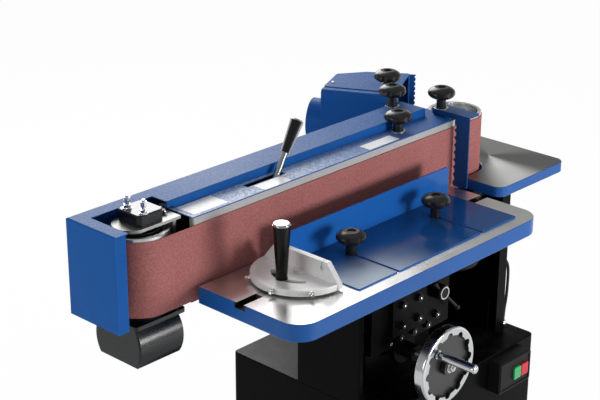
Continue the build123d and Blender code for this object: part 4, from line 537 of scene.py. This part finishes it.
def table_finish(name, colours, top, slot_y=None, slot_floor=0.0, highlight_apex=None):
    """Table casting: ground top, slot darkened as painted shade and painted rim, told apart by place; with an
    apex, a painted highlight fan on the top.
    """
    material, wiring, shader = new_finish(name, anisotropic=0.35, specular_ior_level=0.3)
    place, skin, edge_mask = paint_layers(wiring, 420.0)
    axes = wiring.axes(place)
    bare = wiring.math("GREATER_THAN", axes["Z"], top - 0.25 * MM)
    marks = wiring.group("Tool marks", place, stretch=(5.0, 700.0, 700.0))
    ground = wiring.shades(marks["Lines"], colours.machined, 0.86, 1.12)
    # On the end table the top's colour is a painted highlight inside the fan and a painted shade outside it.
    if highlight_apex is not None:
        ground = wiring.shades(painted_highlight_fan(wiring, axes, highlight_apex), colours.machined, 0.25, 1.35)
    blue = wiring.shades(skin["Cloud"], colours.blue, 0.94, 1.06)
    rim = wiring.mix_colour(wiring.times(edge_mask, 0.35), blue, WORN_RIM)
    # The inside of the slot is darkened as painted shade.
    if slot_y is not None:
        beside = wiring.math("ABSOLUTE", wiring.math("SUBTRACT", axes["Y"], slot_y))
        inside = wiring.math("LESS_THAN", beside, SLOT_HALF)
        above = wiring.math("GREATER_THAN", axes["Z"], slot_floor)
        rim = wiring.mix_colour(wiring.times(inside, above), rim, PAINTED_SLOT_SHADE)
    wiring.feed(shader["Base Color"], wiring.mix_colour(bare, rim, ground))
    wiring.feed(shader["Metallic"], bare)
    ground_roughness = wiring.mix_value(marks["Cloud"], 0.27, 0.32)
    wiring.feed(shader["Roughness"], wiring.mix_value(bare, 0.26, ground_roughness))
    bump(wiring, shader, wiring.mix_value(bare, skin["Height"], marks["Lines"]), 0.06, 0.3 * MM)
    return material


def wheel_finish(name, colours):
    """Handwheel: polished rim, black enamel in its dish and on the hub."""
    material, wiring, shader = new_finish(name, specular_ior_level=1.0)
    place = wiring.place()
    axes = wiring.axes(place)
    middle = (WHEEL_LOW + WHEEL_HIGH) / 2
    across = wiring.math("SUBTRACT", axes["X"], middle.x)
    up = wiring.math("SUBTRACT", axes["Z"], middle.z)
    reach = reach_from(wiring, across, up)
    front = wiring.math("LESS_THAN", axes["Y"], WHEEL_FRONT + 1.2 * MM)
    ring = wiring.times(front, wiring.math("GREATER_THAN", reach, RIM_INSIDE))
    tread = wiring.math("GREATER_THAN", reach, WHEEL_HIGH.x - middle.x - 6.0 * MM)
    bright = wiring.math("MAXIMUM", ring, tread)
    skin = wiring.group("Paint skin", place, grain=500.0)
    black = wiring.shades(skin["Cloud"], colours.black, 1.0, 1.5)
    polished = wiring.shades(skin["Cloud"], colours.chrome, 0.92, 1.03)
    wiring.feed(shader["Base Color"], wiring.mix_colour(bright, black, polished))
    wiring.feed(shader["Metallic"], bright)
    smudged = wiring.mix_value(skin["Cloud"], 0.12, 0.22)
    wiring.feed(shader["Roughness"], wiring.mix_value(bright, 0.36, smudged))
    bump(wiring, shader, skin["Height"], 0.04, 0.4 * MM)
    return material


def gloss_black(wiring, place):
    """Grains, black and roughness of a gloss black grip."""
    grains = wiring.group("Speckle", place, grain=700.0)
    black = wiring.shades(grains["Spots"], GLOSS_BLACK, 1.0, 2.0)
    return grains, black, wiring.mix_value(grains["Spots"], 0.10, 0.17)


def capped_handle_finish(name, colours):
    """Gloss black handle with a polished cap and a bright foot."""
    material, wiring, shader = new_finish(name, specular_ior_level=0.25)
    place = wiring.place()
    height = wiring.axes(place)["Z"]
    cap = wiring.math("GREATER_THAN", height, HANDLE_TOP - 4.5 * MM)
    foot = wiring.math("LESS_THAN", height, GAUGE_BOTTOM + 14.0 * MM)
    bright = wiring.math("MAXIMUM", cap, foot)
    grains, black, gloss = gloss_black(wiring, place)
    wiring.feed(shader["Base Color"], wiring.mix_colour(bright, black, rgb(colours.chrome, 0.6)))
    wiring.feed(shader["Metallic"], bright)
    wiring.feed(shader["Roughness"], gloss)
    bump(wiring, shader, grains["Height"], 0.03, 0.1 * MM)
    return material


def grip_finish(name):
    """Gloss black grip whose sides get a painted highlight at a flat view."""
    material, wiring, shader = new_finish(name, specular_ior_level=0.5)
    grains, black, gloss = gloss_black(wiring, wiring.place())
    # Painted highlight: at a flat view the grip's sides are mixed towards a pale grey.
    painted_shine = wiring.times(flat_view(wiring, 0.22, 0.50), 0.8)
    wiring.feed(shader["Base Color"], wiring.mix_colour(painted_shine, black, PAINTED_GRIP_HIGHLIGHT))
    wiring.feed(shader["Roughness"], gloss)
    bump(wiring, shader, grains["Height"], 0.02, 0.1 * MM)
    return material


def belt_finish(name, colours):
    """Coated abrasive: bonded grains in a reddish binder."""
    material, wiring, shader = new_finish(name, specular_ior_level=0.25)
    place = wiring.place()
    grains = wiring.group("Speckle", place, grain=1100.0)
    marks = wiring.group("Tool marks", place, stretch=(2.0, 2.0, 60.0))
    clumps = wiring.group("Speckle", place, grain=260.0)
    spots = wiring.mix_value(0.5, grains["Spots"], clumps["Spots"])
    grain = wiring.shades(spots, colours.grit, 0.68, 1.34)
    shade = wiring.mix_colour(marks["Cloud"], BELT_SHADE, WHITE)
    tinted = wiring.add("ShaderNodeMix", data_type="RGBA", blend_type="MULTIPLY")
    for index, value in ((0, 1.0), (6, grain), (7, shade)):
        wiring.feed(tinted.inputs[index], value)
    wiring.feed(shader["Base Color"], tinted.outputs[2])
    wiring.feed(shader["Roughness"], wiring.mix_value(grains["Spots"], 0.72, 0.88))
    bump(wiring, shader, grains["Height"], 0.55, 0.35 * MM)
    return material


def cast_finish(name, colour, roughness, metallic, relief=0.16, specular=0.3):
    """Casting with a fine grain under paint or left bare."""
    material, wiring, shader = new_finish(name, metallic=metallic, specular_ior_level=specular)
    place = wiring.place()
    grains = wiring.group("Speckle", place, grain=750.0)
    edge_mask = wiring.group("Sharp edges", place, width=1.4 * MM)["Mask"]
    base = wiring.shades(grains["Spots"], colour, 0.88, 1.10)
    bright = [0.6 * part + 0.12 for part in colour]
    rubbed = wiring.times(edge_mask, 0.4)
    wiring.feed(shader["Base Color"], wiring.mix_colour(rubbed, base, rgb(bright)))
    wiring.feed(shader["Roughness"], wiring.mix_value(grains["Spots"], roughness - 0.05, roughness + 0.06))
    bump(wiring, shader, grains["Height"], relief, 0.2 * MM)
    return material


def dress(material, *names):
    """Gives a finish to frame nodes by their material slots."""
    for name in names:
        node = NODES[name]
        if not node.material_slots:
            node.data.materials.append(material)
        for slot in node.material_slots:
            slot.material = material


# Mesh helpers

def new_object(name, data):
    """Object of some data, linked to the scene."""
    made = bpy.data.objects.new(name, data)
    bpy.context.scene.collection.objects.link(made)
    return made


def mm(points):
    """Points given in millimetres, in metres."""
    return [tuple(value * MM for value in point) for point in points]


def turn(mesh, profile, place, segments=32, ring=False):
    """Adds a turned shape: pairs of radius and height, closed on the axis or into a ring."""
    rows = []
    for radius, height in profile:
        if radius == 0:
            rows.append([mesh.verts.new(place @ Vector((0.0, 0.0, height)))])
            continue
        angles = [2 * math.pi * step / segments for step in range(segments)]
        points = [Vector((radius * math.cos(a), radius * math.sin(a), height)) for a in angles]
        rows.append([mesh.verts.new(place @ point) for point in points])
    pairs = list(zip(rows, rows[1:]))
    if ring:
        pairs.append((rows[-1], rows[0]))
    for low, high in pairs:
        for step in range(segments):
            after = (step + 1) % segments
            corners = [low[step % len(low)], low[after % len(low)],
                       high[after % len(high)], high[step % len(high)]]
            mesh.faces.new(list(dict.fromkeys(corners)))


def push_out(mesh, outline, bottom, top, place=Matrix()):
    """Adds a straight prism over an outline of points."""
    low = [mesh.verts.new(place @ Vector((x, y, bottom))) for x, y in outline]
    high = [mesh.verts.new(place @ Vector((x, y, top))) for x, y in outline]
    mesh.faces.new(low[::-1])
    mesh.faces.new(high)
    for step in range(len(outline)):
        after = (step + 1) % len(outline)
        mesh.faces.new([low[step], low[after], high[after], high[step]])


def rounded_outline(x, y, radius, steps=6):
    """Rectangle between two ranges with rounded corners."""
    corners = [(x[1] - radius, y[1] - radius, 0), (x[0] + radius, y[1] - radius, 90),
               (x[0] + radius, y[0] + radius, 180), (x[1] - radius, y[0] + radius, 270)]
    points = []
    for middle_x, middle_y, start in corners:
        for step in range(steps + 1):
            angle = math.radians(start + 90 * step / steps)
            points.append((middle_x + radius * math.cos(angle), middle_y + radius * math.sin(angle)))
    return points


def facing(point, direction):
    """Matrix that stands a shape's own Z axis on a point along a direction."""
    turn_to = Vector(direction).to_track_quat("Z", "Y").to_matrix().to_4x4()
    return Matrix.Translation(Vector(point)) @ turn_to


def finish_piece(name, mesh, material, body, bevel=0.0):
    """Makes an object of a mesh, softens its edges and lets it ride on a body."""
    bmesh.ops.recalc_face_normals(mesh, faces=mesh.faces)
    data = bpy.data.meshes.new(name)
    mesh.to_mesh(data)
    mesh.free()
    data.materials.append(material)
    for polygon in data.polygons:
        polygon.use_smooth = True
    data.set_sharp_from_angle(angle=math.radians(35))
    piece = new_object(name, data)
    if bevel:
        edges = piece.modifiers.new("Soft edges", "BEVEL")
        edges.width = bevel
        edges.segments = 2
        edges.limit_method = "ANGLE"
    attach(piece, body)
    return piece


def bright_piece(name, mesh, body):
    """Makes a plated object of a mesh and lets it ride on a body."""
    finish_piece(name, mesh, bpy.data.materials["bright plating"], body)


def pan_screw(mesh, point, direction, radius):
    """Adds a domed screw head with a socket."""
    place = facing(point, direction)
    profile = [(0, -0.4 * radius), (0.5 * radius, -0.4 * radius), (radius, 0), (radius, 0.25 * radius),
               (0.86 * radius, 0.55 * radius), (0.55 * radius, 0.72 * radius), (0.46 * radius, 0.72 * radius),
               (0.42 * radius, 0.35 * radius), (0, 0.35 * radius)]
    turn(mesh, profile, place, segments=24)


# Operators

class SanderOperator(bpy.types.Operator):
    """Shared options of the steps."""

    bl_options = {"INTERNAL"}


class SANDER_OT_effects(SanderOperator):
    """Makes the shared surface effects."""

    bl_idname = "sander.effects"
    bl_label = "Surface effects"

    def execute(self, context):
        make_paint_skin()
        make_edge_mask()
        make_tool_marks()
        make_speckle()
        make_dust()
        return {"FINISHED"}


class SANDER_OT_blue_sheet(SanderOperator):
    """Paints guard, hood, cover, stop and fence blue."""

    bl_idname = "sander.blue_sheet"
    bl_label = "Blue sheet metal"

    def execute(self, context):
        blue = settings("finishes").blue
        # The blue sheet paint gets a painted sheen at a flat view, standing in for a reflection.
        sheet = paint("blue sheet paint", blue, roughness=0.40, grain=SHEET_GRAIN, relief=0.42, specular=0.06,
                      painted_sheen_amount=0.14)
        dress(sheet, "belt_guard", "hood_body", "hood_lid")
        # A darker copy of the blue, as painted shade on the work stop.
        shaded_blue = paint("shaded blue paint", [0.62 * part for part in blue], roughness=0.36, specular=0.16)
        dress(shaded_blue, "work_stop")
        dress(cover_finish("cover paint", blue), "platen_cover")
        dress(fence_finish("fence gloss", blue), "fence")
        return {"FINISHED"}


class SANDER_OT_black_frame(SanderOperator):
    """Finishes base, column, carriage, head beam, motor and gearbox in black."""

    bl_idname = "sander.black_frame"
    bl_label = "Black frame"

    def execute(self, context):
        colours = settings("finishes")
        # The black enamel's lighter edges are wear and a painted highlight.
        enamel = paint("black enamel", colours.black, roughness=0.26, grain=380.0, relief=0.05,
                       specular=0.045, dust=0.02, wear_and_highlight=0.3)
        dress(enamel, "base_cabinet", "column", "guide_post", "tilt_brackets", "head_beam",
              "end_table_bracket", "motor_plate", "motor_housing")
        casting = paint("black casting", colours.black, roughness=0.34, grain=300.0, relief=0.16,
                        specular=0.06, dust=0.0, wear_and_highlight=0.35)
        dress(casting, "carriage", "table_bracket")
        satin = cast_finish("satin black", colours.cast_black, 0.25, 0.0, specular=0.58)
        dress(satin, "bearing_block", "gearbox_cover", "gearbox_base")
        return {"FINISHED"}


class SANDER_OT_tables(SanderOperator):
    """Grinds the table tops and paints their rims."""

    bl_idname = "sander.tables"
    bl_label = "Tables"

    def execute(self, context):
        colours = settings("finishes")
        slot_y = (BAR_LOW.y + BAR_HIGH.y) / 2
        slot_floor = TABLE_TOP - SLOT_DEPTH
        dress(table_finish("table casting", colours, TABLE_TOP, slot_y, slot_floor), "table")
        dress(table_finish("end table casting", colours, END_TOP, highlight_apex=HIGHLIGHT_FAN_APEX), "end_table")
        return {"FINISHED"}


class SANDER_OT_belt_and_platen(SanderOperator):
    """Finishes belt, pad, platen, yoke and drums."""

    bl_idname = "sander.belt_and_platen"
    bl_label = "Belt and platen"

    def execute(self, context):
        colours = settings("finishes")
        dress(belt_finish("abrasive belt", colours), "sanding_belt")
        dress(cast_finish("graphite", colours.graphite, 0.5, 0.0), "graphite_pad")
        zinc = cast_finish("zinc plate", colours.zinc, 0.46, 0.4, relief=0.12, specular=0.4)
        dress(zinc, "platen")
        dress(metal("ground yoke", colours.yoke, 0.44, (6.0, 500.0, 500.0)), "tension_yoke")
        dress(metal("turned drum", colours.aluminium, 0.26, (30.0, 30.0, 1500.0)), "idler_drum", "drive_drum")
        return {"FINISHED"}


class SANDER_OT_bright_parts(SanderOperator):
    """Finishes shafts, screws, bolts, glands, handwheel, crank, lever and protractor."""

    bl_idname = "sander.bright_parts"
    bl_label = "Bright metal"

    def execute(self, context):
        colours = settings("finishes")
        steel = metal("turned steel", colours.steel, 0.30, (40.0, 900.0, 900.0))
        dress(steel, "rack", "pinion_shaft", "pivot_shaft", "tension_rod", "idler_shaft", "motor_shaft",
              "slot_nuts", "oscillation_wheel", "bearing_quill", "mitre_bar")
        chrome = metal("bright plating", colours.chrome, 0.16, (60.0, 60.0, 60.0), relief=0.02, streak=0.08)
        dress(chrome, "tracking_screws", "crank_handle", "cable_glands")
        rod_steel = [0.5 * part for part in colours.chrome]
        dress(metal("lever rod", rod_steel, 0.24, (60.0, 60.0, 60.0), relief=0.02), "tension_lever")
        dark = plastic("blackened steel", colours.dark_steel, roughness=0.22, grain=700.0, relief=0.03,
                       specular=0.16)
        dress(dark, "base_bolts", "bracket_bolts", "clamp_screw")
        dress(wheel_finish("handwheel rim and enamel", colours), "handwheel")
        cast = cast_finish("cast aluminium", colours.aluminium, 0.42, 0.2, relief=0.10, specular=0.6)
        dress(cast, "protractor")
        return {"FINISHED"}


class SANDER_OT_plastics(SanderOperator):
    """Finishes knobs, grips, switch box, fan cover and buttons."""

    bl_idname = "sander.plastics"
    bl_label = "Plastics"

    def execute(self, context):
        colours = settings("finishes")
        knob = plastic("knob plastic", colours.plastic, roughness=0.28, specular=0.45)
        dress(knob, *[name for name in NODES if name.endswith("_knob") or name.startswith("fence_knob")])
        dress(grip_finish("gloss grip"), "lever_grip")
        dress(capped_handle_finish("capped handle", colours), "mitre_handle")
        box = plastic("switch box plastic", colours.plastic, roughness=0.42, grain=1100.0, specular=0.15)
        dress(box, "switch_box", "motor_fan_cover")
        dress(plastic("green button plastic", colours.green, roughness=0.32, relief=0.03), "start_button")
        dress(plastic("red button plastic", colours.red, roughness=0.32, relief=0.03), "stop_button")
        return {"FINISHED"}


class SANDER_OT_cover_plates(SanderOperator):
    """Fixes three blank plates on the platen cover."""

    bl_idname = "sander.cover_plates"
    bl_label = "Blank plates"

    def execute(self, context):
        sizes = settings("fittings")
        enamel = plastic("plate enamel", settings("finishes").plate, roughness=0.42, grain=600.0, relief=0.02,
                         specular=1.0)
        for name, ranges in PLATES.items():
            mesh = bmesh.new()
            outline = rounded_outline(*mm(ranges), sizes.plate_corner)
            push_out(mesh, outline, COVER_TOP, COVER_TOP + sizes.plate)
            finish_piece(name, mesh, enamel, "head", bevel=0.25 * MM)
        return {"FINISHED"}


class SANDER_OT_knob_washers(SanderOperator):
    """Puts bright washers under the knobs of the head."""

    bl_idname = "sander.knob_washers"
    bl_label = "Knob washers"

    def execute(self, context):
        sizes = settings("fittings")
        bright = metal("washer plating", settings("finishes").chrome, 0.22, (80.0, 80.0, 80.0), relief=0.02)
        for name, seat in KNOB_SEATS.items():
            low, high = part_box(name)
            middle = Vector(((low.x + high.x) / 2, (low.y + high.y) / 2, seat))
            inner = KNOB_FOOT + 0.3 * MM
            outer = KNOB_FOOT + sizes.washer_edge
            edge = 0.4 * MM
            profile = [(inner, 0), (outer, 0), (outer, sizes.washer - edge), (outer - edge, sizes.washer),
                       (inner, sizes.washer)]
            mesh = bmesh.new()
            turn(mesh, profile, Matrix.Translation(middle), segments=40, ring=True)
            finish_piece(f"{name}_washer", mesh, bright, "head")
        return {"FINISHED"}


class SANDER_OT_idler_fittings(SanderOperator):
    """Adds the flange over the idler drum, the tension link and the gearbox screws."""

    bl_idname = "sander.idler_fittings"
    bl_label = "Idler fittings"

    def execute(self, context):
        sizes = settings("fittings")
        black = cast_finish("flange black", settings("finishes").cast_black, 0.34, 0.0, relief=0.08)
        drum_middle = (DRUM_LOW + DRUM_HIGH) / 2
        bottom = DRUM_HIGH.z + 0.5 * MM
        chamfer = 2 * MM
        profile = [(FLANGE_BORE, bottom), (sizes.flange - chamfer, bottom), (sizes.flange, bottom + chamfer),
                   (sizes.flange, YOKE_LOW.z), (FLANGE_BORE, YOKE_LOW.z)]
        mesh = bmesh.new()
        turn(mesh, profile, Matrix.Translation((drum_middle.x, drum_middle.y, 0)), segments=64, ring=True)
        finish_piece("drum_flange", mesh, black, "idler_slide")
        mesh = bmesh.new()
        for x, y in mm(GEAR_SCREWS):
            pan_screw(mesh, (x, y, GEAR_BOTTOM), (0, 0, -1), sizes.screw)
        bright_piece("gearbox_screws", mesh, "idler_slide")
        corner = 4 * MM
        link_top = YOKE_HIGH.z + 8 * MM
        mesh = bmesh.new()
        push_out(mesh, rounded_outline(*mm([LINK_FOOT_X, LINK_Y]), corner), YOKE_HIGH.z, link_top)
        push_out(mesh, rounded_outline(*mm([LINK_HEAD_X, LINK_Y]), corner), link_top, link_top + 4 * MM)
        finish_piece("tension_link", mesh, black, "idler_slide", bevel=0.8 * MM)
        mesh = bmesh.new()
        screw_place, pin_place = mm([LINK_SCREW, LINK_PIN])
        pan_screw(mesh, (*screw_place, link_top), (0, 0, 1), sizes.screw)
        pin = facing((*pin_place, YOKE_HIGH.z + 4 * MM), (0, 1, 0))
        turn(mesh, mm([(0, 0), (2.4, 0), (3, 0.6), (3, 4), (0, 4)]), pin, segments=20)
        bright_piece("tension_link_pin", mesh, "idler_slide")
        return {"FINISHED"}


class SANDER_OT_wheel_nut(SanderOperator):
    """Adds washer and nut on the hub of the handwheel."""

    bl_idname = "sander.wheel_nut"
    bl_label = "Handwheel nut"

    def execute(self, context):
        middle = (WHEEL_LOW + WHEEL_HIGH) / 2
        hub = facing((middle.x, HUB_FRONT, middle.z), (0, -1, 0))
        washer = mm([(0, 0), (13, 0), (13, 1.6), (12.4, 2.2), (0, 2.2)])
        nut = mm([(0, 2.2), (8.6, 2.2), (9.2, 3.0), (9.2, 8.0), (8.4, 9.0), (0, 9.0)])
        stud = mm([(0, 9.0), (4.4, 9.0), (4.4, 10.6), (3.6, 11.4), (0, 11.4)])
        mesh = bmesh.new()
        turn(mesh, washer, hub, segments=32)
        turn(mesh, nut, hub, segments=6)
        turn(mesh, stud, hub, segments=24)
        bright_piece("handwheel_nut", mesh, "wheel")
        return {"FINISHED"}


class SANDER_OT_bolt_ends(SanderOperator):
    """Adds the bright bolt ends on the carriage and the bright ring on its clamp."""

    bl_idname = "sander.bolt_ends"
    bl_label = "Bolt ends"

    def execute(self, context):
        front = (0, -1, 0)
        end = mm([(0, -0.4), (3.4, -0.4), (3.4, 0.8), (2.6, 1.6), (1.2, 2.0), (0, 2.1)])
        mesh = bmesh.new()
        for bolt in mm(BOLT_HEADS):
            turn(mesh, end, facing(bolt, front), segments=20)
        bright_piece("bolt_ends", mesh, "table")
        ring = mm([(11.5, -0.3), (15.2, -0.3), (15.2, 0.9), (14.4, 1.6), (12.3, 1.6), (11.5, 0.9)])
        mesh = bmesh.new()
        turn(mesh, ring, facing(CLAMP_FACE, front), segments=40, ring=True)
        bright_piece("clamp_ring", mesh, "clamp")
        return {"FINISHED"}


class SANDER_OT_hood_screw(SanderOperator):
    """Adds the bright screw in the hood's lid."""

    bl_idname = "sander.hood_screw"
    bl_label = "Hood screw"

    def execute(self, context):
        mesh = bmesh.new()
        place = mm([HOOD_SCREW])[0]
        pan_screw(mesh, (*place, LID_TOP), (0, 0, 1), settings("fittings").screw)
        bright_piece("hood_screw", mesh, "head")
        return {"FINISHED"}


class SANDER_OT_switch_panel(SanderOperator):
    """Adds the raised frame round the switch panel."""

    bl_idname = "sander.switch_panel"
    bl_label = "Switch panel"

    def execute(self, context):
        sizes = settings("fittings")
        box = bpy.data.materials["switch box plastic"]
        inset = 2.5 * MM
        x = (SWITCH_LOW.x + inset, SWITCH_HIGH.x - inset)
        z = (SWITCH_LOW.z + inset, SWITCH_HIGH.z - inset)
        outer = rounded_outline(x, z, 5 * MM)
        inner_x = (x[0] + sizes.bezel, x[1] - sizes.bezel)
        inner_z = (z[0] + sizes.bezel, z[1] - sizes.bezel)
        inner = rounded_outline(inner_x, inner_z, 2.5 * MM)
        seat = SWITCH_LOW.y + 0.5 * MM
        raised = SWITCH_LOW.y - 2 * MM
        mesh = bmesh.new()
        rows = []
        for outline, y in ((outer, seat), (outer, raised), (inner, raised), (inner, seat)):
            rows.append([mesh.verts.new((px, y, pz)) for px, pz in outline])
        for first, second in zip(rows, rows[1:] + rows[:1]):
            for step in range(len(first)):
                after = (step + 1) % len(first)
                mesh.faces.new([first[step], first[after], second[after], second[step]])
        finish_piece("switch_bezel", mesh, box, "frame", bevel=0.6 * MM)
        return {"FINISHED"}


class SANDER_OT_gauge_stops(SanderOperator):
    """Adds the three stop screws on the protractor's rim."""

    bl_idname = "sander.gauge_stops"
    bl_label = "Gauge stops"

    def execute(self, context):
        pivot = Vector((GAUGE_PIVOT[0], GAUGE_PIVOT[1], 0.0))
        boss = mm([(0, -3), (5, -3), (5, 4), (4.2, 5), (2.6, 5), (2.6, 9), (3.8, 9.4), (3.8, 11.5),
                   (3.0, 12.2), (0, 12.2)])
        mesh = bmesh.new()
        for angle in STOP_ANGLES:
            out = Vector((math.cos(math.radians(angle)), math.sin(math.radians(angle)), 0.0))
            rim = pivot + out * (GAUGE_REACH - 0.5 * MM)
            turn(mesh, boss, facing((rim.x, rim.y, GAUGE_BOTTOM + 10 * MM), out), segments=20)
        bright_piece("gauge_stop_screws", mesh, "protractor")
        return {"FINISHED"}


class SANDER_OT_motor_lead(SanderOperator):
    """Lays the motor lead from the column wall into the base."""

    bl_idname = "sander.motor_lead"
    bl_label = "Motor lead"

    def execute(self, context):
        diameter = settings("fittings").lead
        curve = bpy.data.curves.new("motor_lead_line", "CURVE")
        curve.dimensions = "3D"
        curve.bevel_depth = diameter / 2
        curve.bevel_resolution = 4
        line = curve.splines.new("NURBS")
        line.points.add(len(LEAD_ROUTE) - 1)
        for point, place in zip(line.points, LEAD_ROUTE):
            point.co = (*[value * MM for value in place], 1.0)
        line.order_u = 3
        line.use_endpoint_u = True
        line.resolution_u = 16
        lead = new_object("motor_lead_cord", curve)
        rubber = plastic("lead rubber", settings("finishes").rubber, roughness=0.52, grain=900.0)
        curve.materials.append(rubber)
        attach(lead, "frame")
        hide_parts("motor_lead")
        return {"FINISHED"}


class SANDER_OT_stage(SanderOperator):
    """Sets up floor, light and camera."""

    bl_idname = "sander.stage"
    bl_label = "Stage"

    def execute(self, context):
        stage = settings("stage")
        scene = context.scene
        scene.view_settings.view_transform = "Standard"
        self.make_room(scene, stage)
        self.make_floor(stage)
        target = Vector((-0.25, -0.1, 0.85))
        self.make_panel("key panel", (0.75, -3.2, 1.12), target, (1.1, 0.9), stage.key)
        self.make_panel("side panel", (-3.6, 0.3, 1.5), target, (2.0, 1.5), stage.side)
        self.make_panel("top panel", (-0.2, -0.3, 3.5), target, (2.6, 2.6), stage.top)
        self.make_panel("back panel", (1.30, 2.57, 2.85), target, (1.9, 2.6), stage.sheen)
        self.make_camera(scene, stage)
        return {"FINISHED"}

    def rays(self, wiring):
        """Masks of the rays that look at the background straight, and of those that a surface sends there."""
        path = wiring.add("ShaderNodeLightPath").outputs
        sent = wiring.math("MAXIMUM", path["Is Glossy Ray"], path["Is Transmission Ray"])
        return path["Is Camera Ray"], sent

    def along_view(self, wiring, vector, stage):
        """How far a place or direction lies along the view over the floor."""
        view = (math.sin(stage.heading), math.cos(stage.heading), 0.0)
        dot = wiring.add("ShaderNodeVectorMath", {0: vector, 1: view}, operation="DOT_PRODUCT")
        return dot.outputs["Value"]

    def make_room(self, scene, stage):
        """White backdrop round the horizon, with a darker room above it and behind the camera."""
        world = bpy.data.worlds.new("studio room")
        world.use_nodes = True
        scene.world = world
        wiring = Wiring(world.node_tree)
        background = find_node(world.node_tree, "BACKGROUND")
        direction = wiring.add("ShaderNodeTexCoord").outputs["Generated"]
        low = wiring.ramp(wiring.axes(direction)["Z"], 0.32, 0.05)
        behind = wiring.ramp(self.along_view(wiring, direction, stage), -0.2, 0.3)
        backdrop = wiring.times(low, behind)
        camera, sent = self.rays(wiring)
        dusk = (stage.dusk, stage.dusk, stage.dusk, 1.0)
        mirrored = wiring.mix_colour(backdrop, dusk, WHITE)
        wiring.feed(background.inputs["Color"], wiring.mix_colour(sent, WHITE, mirrored))
        seen = wiring.math("MAXIMUM", camera, sent)
        wiring.feed(background.inputs["Strength"], wiring.mix_value(seen, stage.room, 1.0))

    def make_floor(self, stage):
        """Plain white floor that keeps a soft shadow."""
        half = 9.0
        mesh = bmesh.new()
        corners = [(-half, -half), (half, -half), (half, half), (-half, half)]
        mesh.faces.new([mesh.verts.new((x, y, CAD_BOX[0].z - 0.5 * MM)) for x, y in corners])
        data = bpy.data.meshes.new("studio_floor")
        mesh.to_mesh(data)
        mesh.free()
        floor = new_object("studio_floor", data)
        grey = (0.74, 0.74, 0.74, 1.0)
        material, wiring, _ = new_finish("studio floor", base_color=grey, roughness=0.9)
        lit = find_node(material.node_tree, "BSDF_PRINCIPLED")
        glow = wiring.add("ShaderNodeEmission", {"Color": WHITE, "Strength": 1.0})
        camera, sent = self.rays(wiring)
        place = wiring.add("ShaderNodeNewGeometry").outputs["Position"]
        backdrop = wiring.ramp(self.along_view(wiring, place, stage), 0.0, 0.4)
        shown = wiring.math("MAXIMUM", camera, wiring.times(sent, backdrop))
        seen = wiring.times(shown, 0.975)
        both = wiring.add("ShaderNodeMixShader", {0: seen, 1: lit.outputs[0], 2: glow.outputs[0]})
        output = find_node(material.node_tree, "OUTPUT_MATERIAL")
        wiring.feed(output.inputs["Surface"], both.outputs[0])
        data.materials.append(material)

    def make_panel(self, name, place, target, size, power):
        """Soft panel light that looks at a target."""
        light = bpy.data.lights.new(name, "AREA")
        light.shape = "RECTANGLE"
        light.size, light.size_y = size
        light.energy = power
        panel = new_object(name, light)
        panel.location = place
        panel.rotation_mode = "QUATERNION"
        panel.rotation_quaternion = (target - Vector(place)).to_track_quat("-Z", "Y")
        panel.visible_camera = False

    def make_camera(self, scene, stage):
        """Camera at the photograph's viewing angle."""
        data = bpy.data.cameras.new("studio camera")
        data.lens = stage.lens
        data.sensor_width = 36.0
        data.clip_end = 60.0
        camera = new_object("studio camera", data)
        heading = Matrix.Rotation(-stage.heading, 4, "Z")
        tilt = Matrix.Rotation(math.pi / 2 - stage.down, 4, "X")
        roll = Matrix.Rotation(stage.roll, 4, "Z")
        camera.matrix_world = Matrix.Translation(stage.camera) @ heading @ tilt @ roll
        scene.camera = camera


class SANDER_PT_panel(bpy.types.Panel):
    """Lists the steps and their settings."""

    bl_label = "Belt sander"
    bl_idname = "SANDER_PT_panel"
    bl_space_type = "VIEW_3D"
    bl_region_type = "UI"
    bl_category = "Sander"

    def draw(self, context):
        layout = self.layout
        for step in STEPS:
            layout.operator(step.bl_idname)
        for group in SETTING_GROUPS:
            box = layout.box()
            for key in group.__annotations__:
                box.prop(settings(SETTING_GROUPS[group]), key)


SETTING_GROUPS = {SanderFinishes: "finishes", SanderFittings: "fittings", SanderStage: "stage"}
STEPS = [
    SANDER_OT_stage, SANDER_OT_effects, SANDER_OT_blue_sheet, SANDER_OT_black_frame, SANDER_OT_tables,
    SANDER_OT_belt_and_platen, SANDER_OT_bright_parts, SANDER_OT_plastics, SANDER_OT_motor_lead,
    SANDER_OT_cover_plates, SANDER_OT_knob_washers, SANDER_OT_idler_fittings, SANDER_OT_hood_screw,
    SANDER_OT_switch_panel, SANDER_OT_gauge_stops, SANDER_OT_wheel_nut, SANDER_OT_bolt_ends,
]


def register():
    """Registers the classes and hangs the settings on the scene."""
    for group, name in SETTING_GROUPS.items():
        bpy.utils.register_class(group)
        setattr(bpy.types.Scene, "sander_" + name, bpy.props.PointerProperty(type=group))
    for step in STEPS:
        bpy.utils.register_class(step)
    bpy.utils.register_class(SANDER_PT_panel)


def unregister():
    """Takes the classes and settings out again."""
    bpy.utils.unregister_class(SANDER_PT_panel)
    for step in reversed(STEPS):
        bpy.utils.unregister_class(step)
    for group, name in SETTING_GROUPS.items():
        delattr(bpy.types.Scene, "sander_" + name)
        bpy.utils.unregister_class(group)


def main():
    """Runs the steps in order."""
    register()
    for step in STEPS:
        family, name = step.bl_idname.split(".")
        getattr(getattr(bpy.ops, family), name)()


if __name__ == "__main__":
    main()
